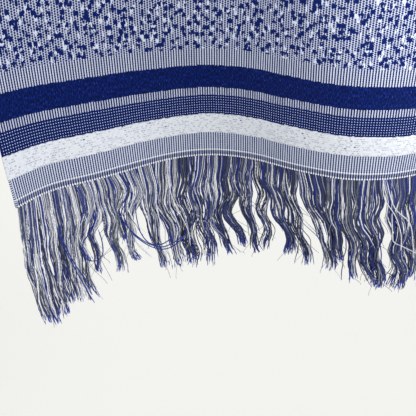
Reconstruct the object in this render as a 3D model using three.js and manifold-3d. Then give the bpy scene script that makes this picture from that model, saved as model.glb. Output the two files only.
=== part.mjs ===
// A long knitted scarf with fringed ends, worn open round the neck with both ends hanging in front.
// Millimetres, +Z up. Its front faces -Y, and the space in the loop is open for a neck. The origin is
// where the inside of the scarf bears on the nape.

import * as THREE from 'three';
import Module from 'manifold-3d';

// The knitted panel as it is before it is worn.
const CLOTH_WIDTH = 350;
const CLOTH_LENGTH = 1800;
const CLOTH_WALL = 2;

// How far the left end hangs below the right one, because the scarf is not centred on the nape.
const LEFT_HANGS_LOWER_BY = 30;
const LEFT_HEM = -(CLOTH_LENGTH + LEFT_HANGS_LOWER_BY) / 2;
const RIGHT_HEM = (CLOTH_LENGTH - LEFT_HANGS_LOWER_BY) / 2;

// The stretch round the neck reaches this far to each side of the nape, down to the collarbones.
const LOOP_REACH = 230;
const SEAM_GAP = 0.3;

// The stitched hem strip that holds the fringe, and the locks of yarn in it.
const HEM_DEPTH = 5;
const HEM_WALL = 2.4;
const LOCKS = 80;
const LOCK_SIDES = 3;
const LOCK_TWIST = 0.25;
const LOCK_RINGS = [
  { place: 'root', share: 0, radius: 1.1, offRow: 0.1 },
  { place: 'below the hem', share: 0.3, radius: 1.7, offRow: 0.8 },
  { place: 'middle', share: 0.65, radius: 1.6, offRow: 1 },
  { place: 'tip', share: 1, radius: 0.9, offRow: 1 },
];
const LOCK_ROOT_DEPTH = 2.6;
const LOCK_ROW_OFFSET = 2.6;
const LOCKS_PER_CLUMP = 5;
const CLUMP_PINCH = 0.3;
const LOCK_SWAY = 2.2;
const SWAY_LENGTH = 92;
const SWAY_TURNS_PER_LOCK = 0.013;
const LOCK_UNEVENNESS = 7;
const UNEVEN_TURNS_PER_LOCK = 0.38;

// Spacing of the rows of points along the cloth.
const LOOP_ROW_SPACING = 22;
const END_ROW_SPACING = 50;
const STEPS_PER_FOLD = 7;
const SLOPE_SAMPLES = 5;

// The line on which the inside of the cloth lies, from the nape down one front. The outer face looks
// round from straight ahead by 'facing' degrees and upwards by 'rise' degrees. 'bunch' is how tightly the
// neck folds are gathered, and 'spread' how much of its own open wave the end has. The left end is drawn
// open at its hem, and the right one hangs in its folds.
const NECK_COURSE = [
  { place: 'nape', out: 0, ahead: 0, up: 0, facing: 180, rise: 26, bunch: 1, spread: 0 },
  { place: 'behind the ear', out: 66, ahead: 26, up: -3, facing: 136, rise: 29, bunch: 1, spread: 0 },
  { place: 'side of the neck', out: 99, ahead: 87, up: -14, facing: 92, rise: 34, bunch: 0.99, spread: 0 },
  { place: 'collarbone', out: 99, ahead: 146, up: -48, facing: 46, rise: 38, bunch: 0.97, spread: 0 },
  { place: 'upper chest', out: 95, ahead: 184, up: -112, facing: 16, rise: 20, bunch: 0.94, spread: 0.03 },
];
const LEFT_COURSE = [
  ...NECK_COURSE,
  { place: 'chest', out: 96, ahead: 198, up: -195, facing: 5, rise: 5, bunch: 0.88, spread: 0.1 },
  { place: 'ribs', out: 128, ahead: 202, up: -330, facing: 8, rise: 0, bunch: 0.7, spread: 0.3 },
  { place: 'waist', out: 160, ahead: 202, up: -480, facing: 11, rise: 0, bunch: 0.42, spread: 0.5 },
  { place: 'hip', out: 168, ahead: 201, up: -600, facing: 9, rise: 0, bunch: 0.12, spread: 0.68 },
  { place: 'hem', out: 169, ahead: 200, up: -740, facing: 0, rise: 0, bunch: 0.03, spread: 1 },
  { place: 'below the hem', out: 169, ahead: 200, up: -900, facing: -9, rise: 0, bunch: 0, spread: 1.2 },
];
const RIGHT_COURSE = [
  ...NECK_COURSE,
  { place: 'chest', out: 94, ahead: 196, up: -195, facing: 4, rise: 5, bunch: 0.88, spread: 0.05 },
  { place: 'ribs', out: 108, ahead: 200, up: -330, facing: 2, rise: 0, bunch: 0.8, spread: 0.1 },
  { place: 'waist', out: 119, ahead: 200, up: -480, facing: 1, rise: 0, bunch: 0.73, spread: 0.16 },
  { place: 'hip', out: 128, ahead: 199, up: -600, facing: -3, rise: 0, bunch: 0.68, spread: 0.2 },
  { place: 'hem', out: 133, ahead: 198, up: -740, facing: -6, rise: 0, bunch: 0.64, spread: 0.25 },
  { place: 'below the hem', out: 135, ahead: 198, up: -900, facing: -8, rise: 0, bunch: 0.62, spread: 0.25 },
];

// Folds of the gathered cloth, from its outer edge to its inner one: the steepest slope of each side of a
// fold, in degrees, and where it lies across the flat cloth.
const NECK_FOLDS = [
  { across: 0, slope: 88 },
  { across: 40, slope: -101 },
  { across: 97, slope: 99 },
  { across: 143, slope: -104 },
  { across: 204, slope: 102 },
  { across: 251, slope: -97 },
  { across: 304, slope: 100 },
  { across: 350, slope: -90 },
];

// How unevenly the folds run: they drift across the cloth, and each opens and closes in turn.
const FOLD_DRIFT = 7;
const FOLD_DRIFT_LENGTH = 620;
const FOLD_WANDER = 0.08;
const FOLD_WANDER_LENGTH = 430;
const FOLD_WANDER_WIDTH = 190;

// The open waves of the two hanging ends, in the same way.
const LEFT_WAVES = [
  { across: 0, slope: -56 },
  { across: 48, slope: -20 },
  { across: 86, slope: -33 },
  { across: 200, slope: 27 },
  { across: 232, slope: 27 },
  { across: 330, slope: -32 },
  { across: 350, slope: -38 },
];
const RIGHT_WAVES = [
  { across: 0, slope: -38 },
  { across: 95, slope: 30 },
  { across: 200, slope: -36 },
  { across: 290, slope: 30 },
  { across: 350, slope: -20 },
];

// The fringe of each end across its hem: how far the locks drop, and how far they lean from plumb,
// in degrees to the right of someone who looks at the front.
const LEFT_FRINGE = [
  { across: 0, drop: 121, lean: 3 },
  { across: 60, drop: 116, lean: 5 },
  { across: 112, drop: 101, lean: 14 },
  { across: 165, drop: 104, lean: 19 },
  { across: 205, drop: 90, lean: 20 },
  { across: 250, drop: 80, lean: 19 },
  { across: 300, drop: 92, lean: 17 },
  { across: 350, drop: 86, lean: 12 },
];
const RIGHT_FRINGE = [
  { across: 0, drop: 112, lean: 5 },
  { across: 80, drop: 98, lean: 9 },
  { across: 150, drop: 86, lean: 13 },
  { across: 230, drop: 101, lean: 10 },
  { across: 350, drop: 94, lean: 7 },
];

const RADIANS = Math.PI / 180;
const TURN = 2 * Math.PI;
const DOWN = new THREE.Vector3(0, 0, -1);
const RIGHTWARDS = new THREE.Vector3(1, 0, 0);

const wasm = await Module();
wasm.setup();

// A column of a table at a place between its rows, eased from each row to the next.
function readTable(rows, column, at) {
  const next = rows.findIndex((row) => row.across > at);
  if (next < 1) return rows.at(next < 0 ? -1 : 0)[column];
  const before = rows[next - 1];
  const share = (at - before.across) / (rows[next].across - before.across);
  const eased = (1 - Math.cos(Math.PI * share)) / 2;
  return THREE.MathUtils.lerp(before[column], rows[next][column], eased);
}

// Smooth curve through three values of each row of the course, from the left hem over the nape to the
// right one.
function courseCurve(type, leftValues, rightValues) {
  const left = LEFT_COURSE.slice(1).reverse().map(leftValues);
  return new THREE.CatmullRomCurve3([...left, ...RIGHT_COURSE.map(rightValues)], false, type);
}

const line = courseCurve(
  'centripetal',
  ({ out, ahead, up }) => new THREE.Vector3(-out, -ahead, up),
  ({ out, ahead, up }) => new THREE.Vector3(out, -ahead, up),
);
line.arcLengthDivisions = 600;
const lineLength = line.getLength();
const napeShare = (LEFT_COURSE.length - 1) / (line.points.length - 1);
const napeAt = line.getLengths()[Math.round(napeShare * line.arcLengthDivisions)];

const facings = courseCurve(
  'catmullrom',
  ({ facing, rise }) => new THREE.Vector3(facing, rise, 0),
  ({ facing, rise }) => new THREE.Vector3(360 - facing, rise, 0),
);

const drape = courseCurve(
  'catmullrom',
  ({ bunch, spread }) => new THREE.Vector3(bunch, spread, 0),
  ({ bunch, spread }) => new THREE.Vector3(bunch, spread, 0),
);

// The frame of the cloth at a distance from the nape, negative to the left: the bearing line's point,
// the direction along the cloth, the way its outer face looks and the way across to its inner edge.
function frameAt(along) {
  const share = line.getUtoTmapping((napeAt + along) / lineLength);
  const { x: facing, y: rise } = facings.getPoint(share);
  const { x: bunch, y: spread } = drape.getPoint(share);
  const tangent = line.getTangent(share);
  const level = Math.cos(rise * RADIANS);
  const outward = new THREE.Vector3(
    -Math.sin(facing * RADIANS) * level,
    -Math.cos(facing * RADIANS) * level,
    Math.sin(rise * RADIANS),
  );
  outward.addScaledVector(tangent, -outward.dot(tangent)).normalize();
  const inward = tangent.clone().cross(outward);
  return { point: line.getPoint(share), outward, inward, bunch, spread };
}

// Places across the cloth of its columns of points, closest where a neck fold turns fastest.
function columnPlaces() {
  const places = [0];
  for (let fold = 1; fold < NECK_FOLDS.length; fold += 1) {
    const start = NECK_FOLDS[fold - 1].across;
    const width = NECK_FOLDS[fold].across - start;
    for (let step = 1; step <= STEPS_PER_FOLD; step += 1) {
      const even = step / STEPS_PER_FOLD;
      const turned = Math.acos(1 - 2 * even) / Math.PI;
      places.push(start + (width * (even + turned)) / 2);
    }
  }
  return places;
}

// The slope of the cloth's cross-section at a place across it and a distance along it, in radians.
function slopeAt(across, along, { bunch, spread }) {
  const drift = FOLD_DRIFT * Math.sin((TURN * along) / FOLD_DRIFT_LENGTH);
  const wander = Math.sin(TURN * (along / FOLD_WANDER_LENGTH + across / FOLD_WANDER_WIDTH));
  const fold = readTable(NECK_FOLDS, 'slope', across + drift) * (1 + FOLD_WANDER * wander);
  const wave = readTable(along < 0 ? LEFT_WAVES : RIGHT_WAVES, 'slope', across);
  return (bunch * fold + spread * wave) * RADIANS;
}

// The cross-section of the cloth at a distance along it, followed by its slope so that it keeps its flat
// width: for each place across, its distance inward and outward from the bearing line, and its slope.
function sectionAt(frame, along, places) {
  const section = [];
  let inward = 0;
  let outward = 0;
  let reached = 0;
  for (const place of places) {
    const step = (place - reached) / SLOPE_SAMPLES;
    for (let sample = 0.5; sample < SLOPE_SAMPLES; sample += 1) {
      const slope = slopeAt(reached + step * sample, along, frame);
      inward += Math.cos(slope) * step;
      outward += Math.sin(slope) * step;
    }
    reached = place;
    section.push({ inward, outward, slope: slopeAt(place, along, frame) });
  }
  return section;
}

const COLUMNS = columnPlaces();

// The section's middle across, and the depth at which the backs of its folds bear.
function sectionSeat(section) {
  const inwards = section.map((spot) => spot.inward);
  const depths = section.map((spot) => spot.outward);
  const mean = depths.reduce((sum, depth) => sum + depth, 0) / depths.length;
  const square = depths.reduce((sum, depth) => sum + (depth - mean) ** 2, 0) / depths.length;
  const bearing = mean - Math.SQRT2 * Math.sqrt(square);
  return { middle: (Math.min(...inwards) + Math.max(...inwards)) / 2, bearing };
}

// Points of the cloth at a distance along it, one for each place across, off its middle layer by 'off'.
function clothPoints(along, places, off) {
  const frame = frameAt(along);
  const seat = sectionSeat(sectionAt(frame, along, COLUMNS));
  return sectionAt(frame, along, places).map(({ inward, outward, slope }) => frame.point.clone()
    .addScaledVector(frame.inward, inward - seat.middle - off * Math.sin(slope))
    .addScaledVector(frame.outward, outward - seat.bearing + off * Math.cos(slope)));
}

// The innermost point of the scarf at the nape, which becomes the origin.
const napePoints = clothPoints(0, COLUMNS, -CLOTH_WALL / 2);
const napeOutward = frameAt(0).outward;
const NAPE_SEAT = napePoints.reduce((lowest, point) =>
  (point.dot(napeOutward) < lowest.dot(napeOutward) ? point : lowest));

// A closed solid through rings of points, all with as many points, with a cap on each end.
function loft(rings) {
  const size = rings[0].length;
  const triangles = [];
  for (let ring = 1; ring < rings.length; ring += 1) {
    for (let spot = 0; spot < size; spot += 1) {
      const here = (ring - 1) * size + spot;
      const beside = (ring - 1) * size + ((spot + 1) % size);
      triangles.push(here, beside, here + size, beside, beside + size, here + size);
    }
  }
  const last = (rings.length - 1) * size;
  for (let near = 0, far = size - 1; near + 1 < far; near += 1, far -= 1) {
    triangles.push(near, far, near + 1, last + near, last + near + 1, last + far);
    if (near + 1 < far - 1) {
      triangles.push(far, far - 1, near + 1, last + far, last + near + 1, last + far - 1);
    }
  }
  const positions = rings.flat().flatMap((point) => point.clone().sub(NAPE_SEAT).toArray());
  const geometry = new THREE.BufferGeometry();
  geometry.setAttribute('position', new THREE.Float32BufferAttribute(positions, 3));
  geometry.setIndex(triangles);
  return geometry;
}

// A stretch of cloth as a wall between two distances along the scarf.
function clothWall(from, to, rowSpacing, wall) {
  const rows = Math.max(1, Math.round((to - from) / rowSpacing));
  const rings = [];
  for (let row = 0; row <= rows; row += 1) {
    const along = THREE.MathUtils.lerp(from, to, row / rows);
    const outerFace = clothPoints(along, COLUMNS, wall / 2);
    const innerFace = clothPoints(along, COLUMNS, -wall / 2);
    rings.push([...outerFace, ...innerFace.reverse()]);
  }
  return loft(rings);
}

// One lock of yarn, from inside the hem strip down to its tip.
function lockGeometry(root, hem, index, fringe) {
  const { drop, lean } = fringe;
  const row = index % 2 === 0 ? 1 : -1;
  const inClump = (index % LOCKS_PER_CLUMP) - (LOCKS_PER_CLUMP - 1) / 2;
  const phase = SWAY_TURNS_PER_LOCK * index;
  const uneven = LOCK_UNEVENNESS * Math.sin(TURN * UNEVEN_TURNS_PER_LOCK * index);
  const rings = LOCK_RINGS.map(({ share, radius, offRow }) => {
    const fall = share === 0 ? -LOCK_ROOT_DEPTH : share * (drop + uneven);
    const below = Math.max(0, fall);
    const sway = LOCK_SWAY * (Math.sin(TURN * (below / SWAY_LENGTH + phase)) - Math.sin(TURN * phase));
    const pinch = -inClump * CLUMP_PINCH * (CLOTH_WIDTH / LOCKS) * share;
    const centre = root.clone()
      .addScaledVector(DOWN, fall)
      .addScaledVector(RIGHTWARDS, below * Math.tan(lean * RADIANS) + sway)
      .addScaledVector(hem.along, pinch)
      .addScaledVector(hem.outward, row * offRow * LOCK_ROW_OFFSET);
    return Array.from({ length: LOCK_SIDES }, (_, side) => {
      const angle = (TURN * (side + LOCK_TWIST * row)) / LOCK_SIDES;
      return centre.clone().add(new THREE.Vector3(Math.cos(angle), -Math.sin(angle), 0).multiplyScalar(radius));
    });
  });
  return loft(rings);
}

function toManifold(geometry) {
  return new wasm.Manifold(new wasm.Mesh({
    numProp: 3,
    vertProperties: geometry.getAttribute('position').array,
    triVerts: Uint32Array.from(geometry.getIndex().array),
  }));
}

function fromManifold(solid) {
  const { vertProperties, triVerts } = solid.getMesh();
  const geometry = new THREE.BufferGeometry();
  geometry.setAttribute('position', new THREE.BufferAttribute(vertProperties, 3));
  geometry.setIndex(new THREE.BufferAttribute(triVerts, 1));
  return geometry;
}

// The hem strip of an end with its locks fused in at their roots.
function fringedHem(hemAlong, towardsNape, table) {
  const top = hemAlong + towardsNape * HEM_DEPTH;
  const [from, to] = [hemAlong, top].sort((one, other) => one - other);
  const places = Array.from({ length: LOCKS }, (_, index) => (CLOTH_WIDTH * (index + 0.5)) / LOCKS);
  const roots = clothPoints(hemAlong, places, 0);
  const outer = clothPoints(hemAlong, places, 1);
  const strip = toManifold(clothWall(from, to, HEM_DEPTH, HEM_WALL));
  const fused = places.reduce((solid, place, index) => {
    const outward = outer[index].clone().sub(roots[index]);
    const along = outward.clone().cross(DOWN);
    const fringe = { drop: readTable(table, 'drop', place), lean: readTable(table, 'lean', place) };
    const lock = lockGeometry(roots[index], { outward, along }, index, fringe);
    return solid.add(toManifold(lock));
  }, strip);
  return fromManifold(fused);
}

const knit = new THREE.MeshStandardMaterial({ color: 0x8f98bf, roughness: 0.9, metalness: 0 });
const yarn = new THREE.MeshStandardMaterial({ color: 0x5d6890, roughness: 0.85, metalness: 0 });

function named(name, geometry, material) {
  const mesh = new THREE.Mesh(geometry, material);
  mesh.name = name;
  return mesh;
}

const scarf = new THREE.Group();
const loopStart = LOOP_REACH - SEAM_GAP / 2;
const endStart = LOOP_REACH + SEAM_GAP / 2;
const hemJoin = HEM_DEPTH + SEAM_GAP;

scarf.add(named('neck_loop', clothWall(-loopStart, loopStart, LOOP_ROW_SPACING, CLOTH_WALL), knit));
scarf.add(named('end_left', clothWall(LEFT_HEM + hemJoin, -endStart, END_ROW_SPACING, CLOTH_WALL), knit));
scarf.add(named('end_right', clothWall(endStart, RIGHT_HEM - hemJoin, END_ROW_SPACING, CLOTH_WALL), knit));
scarf.add(named('fringe_left', fringedHem(LEFT_HEM, 1, LEFT_FRINGE), yarn));
scarf.add(named('fringe_right', fringedHem(RIGHT_HEM, -1, RIGHT_FRINGE), yarn));

export default scarf;
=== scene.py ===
"""A long knitted scarf in blue and white with banded, fringed ends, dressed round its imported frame.

The cloth follows the same rule as the frame's solids: a line that the scarf lies on, from one hem over
the nape to the other, and a cross-section that keeps its flat width while its folds open and close.
Sizes are in millimetres, and a mesh is made in metres.
"""

import logging
import math
from collections.abc import Sequence
from dataclasses import astuple, dataclass
from enum import Enum
from typing import NamedTuple

import bpy
import numpy as np
from mathutils import Matrix, Vector

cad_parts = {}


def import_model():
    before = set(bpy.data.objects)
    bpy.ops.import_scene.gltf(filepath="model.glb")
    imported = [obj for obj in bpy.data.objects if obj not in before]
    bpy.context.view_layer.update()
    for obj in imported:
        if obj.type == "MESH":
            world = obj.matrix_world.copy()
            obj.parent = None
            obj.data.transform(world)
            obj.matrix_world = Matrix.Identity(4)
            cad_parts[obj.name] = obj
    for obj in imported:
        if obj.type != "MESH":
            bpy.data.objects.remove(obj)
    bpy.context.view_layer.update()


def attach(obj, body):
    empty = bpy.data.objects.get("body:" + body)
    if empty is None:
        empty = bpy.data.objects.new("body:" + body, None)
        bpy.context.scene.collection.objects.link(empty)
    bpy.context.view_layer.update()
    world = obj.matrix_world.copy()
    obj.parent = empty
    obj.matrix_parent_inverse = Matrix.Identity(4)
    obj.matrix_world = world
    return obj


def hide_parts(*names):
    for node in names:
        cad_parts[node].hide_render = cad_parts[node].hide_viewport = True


log = logging.getLogger("scarf")

Piece = bpy.types.Object
Material = bpy.types.Material
Node = bpy.types.Node
Socket = bpy.types.NodeSocket
Values = dict[str, object]
Colour = tuple[float, float, float, float]
# Where a mask is 0 and where it is 1.
Ramp = tuple[float, float]

MM = 0.001
TURN = 2 * math.pi
BODY = "root"
BAKE_MAP = "OFBake"
PLY_DYES = ("yarn_dye", "ply_dye")
# The distance between the knit's ribs, and the height of a row of stitches.
RIB = 1.8
COURSE = 1.5


class End(Enum):
    """The two ends of the scarf, as someone who looks at its front sees them."""

    LEFT = "left"
    RIGHT = "right"


class Face(Enum):
    """The two faces of the cloth, and the side of its middle layer that each lies on."""

    OUTER = 1
    INNER = -1


class LineKind(Enum):
    """How a smooth line's tangents follow from its points."""

    CENTRIPETAL = "centripetal"
    EVEN = "even"


class Stop(NamedTuple):
    """One place on the line that the inside of the scarf lies on, and how the cloth hangs there.

    The outer face looks round from straight ahead by facing degrees and upwards by rise degrees. bunch is
    how tightly the neck folds are gathered, and spread how much of its own open wave the end has.
    """

    place: str
    out: float
    ahead: float
    up: float
    facing: float
    rise: float
    bunch: float
    spread: float


class Stretch(NamedTuple):
    """A stretch of the cloth that is a piece of its own, by its places along the cloth from the nape."""

    node: str
    start: float
    end: float


class Slope(NamedTuple):
    """The steepest slope of one side of a fold, in degrees, and where it lies across the flat cloth."""

    across: float
    slope: float


class Crease(NamedTuple):
    """A soft trough or ridge that runs along the cloth: where its middle lies, and its sizes."""

    across: float
    along: float
    length: float
    width: float
    depth: float
    slant: float


class Swell(NamedTuple):
    """A soft wave over the cloth that fades in and out with another, by the lengths and starts of both."""

    height: float
    across: float
    along: float
    start: float
    fading_across: float
    fading_along: float
    fading_start: float


class Drop(NamedTuple):
    """How far the fringe falls below a place on the hem, and its lean from plumb in degrees."""

    across: float
    fall: float
    lean: float


class Tuft(NamedTuple):
    """Yarn ends that hang together, by the stretch of hem that they leave and the way that they take.

    near, far and tip are how far the tuft's middle has moved sideways at a third of its fall, at two
    thirds and at its tip.
    """

    start: float
    end: float
    near: float
    far: float
    tip: float
    fall: float
    width: float


class Yarn(Enum):
    """The yarns of the fringe, by their dye on a screen; the dark one is painted shade that stands in for
    the shade between the strands.
    """

    VIVID = (44, 66, 176)
    BLUE = (31, 51, 142)
    SLATE = (68, 78, 124)
    # Painted shade: a dark blue-grey yarn that stands in for the shade deep between the strands.
    DARK = (43, 51, 80)
    GREY = (107, 113, 130)
    PALE = (177, 182, 199)
    WHITE = (234, 236, 243)

    def colour(self) -> Colour:
        """The yarn's colour as the renderer takes it."""
        return dye(*self.value)


class Stray(NamedTuple):
    """A yarn that goes its own way in front of the tufts, by its sideways shifts and falls."""

    across: float
    yarn: Yarn
    front: float
    shifts: tuple[float, ...]
    falls: tuple[float, ...]


NECK_COURSE = (
    Stop("nape", 0, 0, 0, 180, 26, 1, 0),
    Stop("behind the ear", 66, 26, -3, 136, 29, 1, 0),
    Stop("side of the neck", 99, 87, -14, 92, 34, 0.99, 0),
    Stop("collarbone", 99, 146, -48, 46, 38, 0.97, 0),
    Stop("upper chest", 95, 184, -112, 16, 20, 0.94, 0.03),
)
LEFT_COURSE = (
    *NECK_COURSE,
    Stop("chest", 96, 198, -195, 5, 5, 0.88, 0.1),
    Stop("ribs", 128, 202, -330, 8, 0, 0.7, 0.3),
    Stop("waist", 160, 202, -480, 11, 0, 0.42, 0.5),
    Stop("hip", 168, 201, -600, 9, 0, 0.12, 0.68),
    Stop("hem", 169, 200, -740, 0, 0, 0.03, 1),
    Stop("below the hem", 169, 200, -900, -9, 0, 0, 1.2),
)
RIGHT_COURSE = (
    *NECK_COURSE,
    Stop("chest", 94, 196, -195, 4, 5, 0.88, 0.05),
    Stop("ribs", 108, 200, -330, 2, 0, 0.8, 0.1),
    Stop("waist", 119, 200, -480, 1, 0, 0.73, 0.16),
    Stop("hip", 128, 199, -600, -3, 0, 0.68, 0.2),
    Stop("hem", 133, 198, -740, -6, 0, 0.64, 0.25),
    Stop("below the hem", 135, 198, -900, -8, 0, 0.62, 0.25),
)
NECK_FOLDS = (
    Slope(0, 88),
    Slope(40, -101),
    Slope(97, 99),
    Slope(143, -104),
    Slope(204, 102),
    Slope(251, -97),
    Slope(304, 100),
    Slope(350, -90),
)
LEFT_WAVES = (
    Slope(0, -56),
    Slope(48, -20),
    Slope(86, -33),
    Slope(200, 27),
    Slope(232, 27),
    Slope(330, -32),
    Slope(350, -38),
)
RIGHT_WAVES = (Slope(0, -38), Slope(95, 30), Slope(200, -36), Slope(290, 30), Slope(350, -20))

SEEDS = {End.LEFT: 11, End.RIGHT: 15}
LOOP_REACH = 230.0

LEFT_FRINGE = (
    Drop(0, 121, 3),
    Drop(60, 116, 5),
    Drop(112, 101, 14),
    Drop(165, 104, 19),
    Drop(205, 90, 20),
    Drop(250, 80, 19),
    Drop(300, 92, 17),
    Drop(350, 86, 12),
)
RIGHT_FRINGE = (Drop(0, 112, 5), Drop(80, 98, 9), Drop(150, 86, 13), Drop(230, 101, 10), Drop(350, 94, 7))

SWELLS = (Swell(0.5, 83, 271, 0.2, math.inf, 147, 0.1), Swell(0.3, 47, -160, 0, 300, 96, 0))
CREASES = (
    Crease(38, -700, 210, 17, 1.5, 0.05),
    Crease(96, -760, 150, 13, -1.3, -0.07),
    Crease(128, -655, 260, 20, -1.9, 0.03),
    Crease(171, -735, 190, 15, 1.4, -0.04),
    Crease(214, -690, 240, 18, -1.3, 0.08),
    Crease(262, -770, 130, 14, 1.1, 0.1),
    Crease(305, -640, 230, 16, -1.4, -0.05),
    Crease(72, -480, 220, 12, 1.0, 0.04),
    Crease(186, -430, 170, 11, -0.9, -0.05),
    Crease(270, -350, 190, 10, 0.9, 0.05),
    Crease(120, -290, 120, 9, -0.8, 0.06),
    Crease(60, -60, 110, 8, 0.8, 0.08),
    Crease(170, 20, 130, 8, -0.9, -0.06),
    Crease(285, 90, 140, 9, 0.8, 0.05),
    Crease(90, 310, 180, 10, -0.9, -0.05),
    Crease(230, 390, 210, 11, 1.0, 0.06),
    Crease(150, 520, 240, 13, -1.2, 0.04),
    Crease(45, 610, 190, 12, 1.2, -0.06),
    Crease(300, 650, 200, 14, -1.2, 0.05),
    Crease(200, 730, 180, 13, 1.2, -0.05),
    Crease(110, 780, 150, 12, -1.0, 0.07),
)

LEFT_TUFTS = (
    Tuft(0, 11, -4.5, -7, -4.5, 115, 8),
    Tuft(6, 21, -5, -6, -4.5, 119, 11),
    Tuft(15, 31, -5, -4.5, -5, 115, 13),
    Tuft(26, 40, -7, -5, -5, 110, 13),
    Tuft(35, 48, -4, -2, 0, 106, 12),
    Tuft(44, 54, -1, -7, -5, 69, 6),
    Tuft(51, 60, -3, -4, -3, 87, 5),
    Tuft(57, 71, -2, 3, 5, 88, 9),
    Tuft(69, 80, 0, -2, 3, 59, 6),
    Tuft(79, 93, -2, -4, -2, 82, 4),
    Tuft(90, 106, -1, 4, 8, 97, 8),
    Tuft(105, 123, -4, 5, 6, 98, 10),
    Tuft(121, 141, -3, 0, 3, 104, 16),
    Tuft(138, 153, -5, 0, 5, 101, 15),
    Tuft(150, 166, -3, -2, 9, 95, 10),
    Tuft(163, 176, -3, -3, 9, 87, 7),
    Tuft(174, 187, -3, 3, 9, 91, 7),
    Tuft(184, 195, 2, 7, 10, 86, 6),
    Tuft(194, 210, 1, 11, 17, 82, 10),
    Tuft(209, 222, 1, 10, 18, 89, 8),
    Tuft(221, 233, 6, 19, 24, 91, 8),
    Tuft(231, 246, 5, 15, 20, 80, 9),
    Tuft(244, 254, 0, 7, 13, 77, 6),
    Tuft(251, 262, 1, 11, 13, 92, 9),
    Tuft(258, 269, 3, 12, 21, 97, 9),
    Tuft(266, 278, 0, 14, 20, 101, 10),
    Tuft(275, 284, 3, 7, 13, 98, 7),
    Tuft(283, 292, 7, 13, 17, 101, 6),
    Tuft(291, 303, 3, 8, 15, 100, 9),
    Tuft(301, 314, 2, 6, 12, 91, 9),
)
PALE_YARNS = (Yarn.WHITE, Yarn.PALE)
YARN_SHARES = {
    Yarn.WHITE: 0.66,
    Yarn.BLUE: 0.36,
    Yarn.GREY: 0.18,
    # The dark yarn's share is painted shade between the strands.
    Yarn.DARK: 0.27,
    Yarn.SLATE: 0.19,
    Yarn.PALE: 0.34,
}
LEFT_STRAYS = (
    Stray(81, Yarn.BLUE, 7, (0, -1, -3, 4, 11, 18, 27, 35, 43), (0, 25, 38, 51, 59, 64, 66, 62, 56)),
    Stray(82, Yarn.BLUE, 8, (0, 0, -2, 4, 11, 18, 26, 34, 41), (0, 26, 39, 53, 61, 66, 68, 65, 58)),
    Stray(91, Yarn.BLUE, 6, (0, -1, -1, 1, 7, 16, 25), (0, 29, 43, 57, 67, 68, 62)),
    Stray(54, Yarn.BLUE, 6, (0, -1, -9, -9, -1, 5, 6, 5), (0, 39, 53, 67, 70, 63, 50, 42)),
    Stray(213, Yarn.WHITE, 4, (0, 2, 13, 31, 43), (0, 18, 43, 66, 88)),
    Stray(212, Yarn.PALE, 4, (0, 1, 11, 28, 38), (0, 20, 44, 64, 82)),
    Stray(167, Yarn.WHITE, 4, (0, 4, 11, 19, 28, 26, 21), (0, 27, 39, 47, 56, 66, 70)),
    Stray(284, Yarn.WHITE, 4, (0, 2, 12, 18, 20), (0, 15, 31, 47, 62)),
    Stray(286, Yarn.WHITE, 4, (0, 8, 21, 26, 29), (0, 23, 37, 55, 70)),
    Stray(290, Yarn.WHITE, 4, (0, 6, 8, 15, 27), (0, 47, 55, 59, 66)),
    Stray(118, Yarn.WHITE, 5, (0, 0, 1, 3, 8, 13, 14), (0, 8, 24, 35, 49, 64, 77)),
    Stray(119, Yarn.PALE, 4, (0, 0, 2, 4, 9, 12, 11), (0, 9, 25, 36, 48, 61, 73)),
    Stray(36, Yarn.BLUE, 7, (0, -6, -6, -1, 6, 9), (0, 30, 44, 66, 92, 102)),
    Stray(38, Yarn.BLUE, 8, (0, -7, -6, 0, 8, 12), (0, 32, 46, 69, 88, 97)),
)


def eased(rows: Sequence[Sequence[float]], at: np.ndarray) -> np.ndarray:
    """Reads a table of (place, value) rows between its rows, eased from each row to the next.

    Args:
        rows: The table, in the order of its places. Only a row's first two numbers are read.
        at: The places to read it at.

    Returns:
        A value for each place.
    """
    places, values = np.array(rows, float).T[:2]
    spot = np.clip(at, places[0], places[-1])
    row = np.clip(np.searchsorted(places, spot, side="right") - 1, 0, len(places) - 2)
    share = (spot - places[row]) / (places[row + 1] - places[row])
    return values[row] + (values[row + 1] - values[row]) * (1 - np.cos(np.pi * share)) / 2


def unit(vectors: np.ndarray) -> np.ndarray:
    """Vectors of length 1 along the given ones, in the array's last axis."""
    return vectors / np.linalg.norm(vectors, axis=-1, keepdims=True)


def stepped(share: np.ndarray) -> np.ndarray:
    """Rises from 0 to 1 in a soft step as share does, and stays there."""
    share = np.clip(share, 0, 1)
    return share * share * (3 - 2 * share)


def read_rows(places: np.ndarray, rows: np.ndarray, at: np.ndarray) -> np.ndarray:
    """Rows of values at known places, each read at other places."""
    return np.stack([np.interp(at, places, row) for row in rows])


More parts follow.
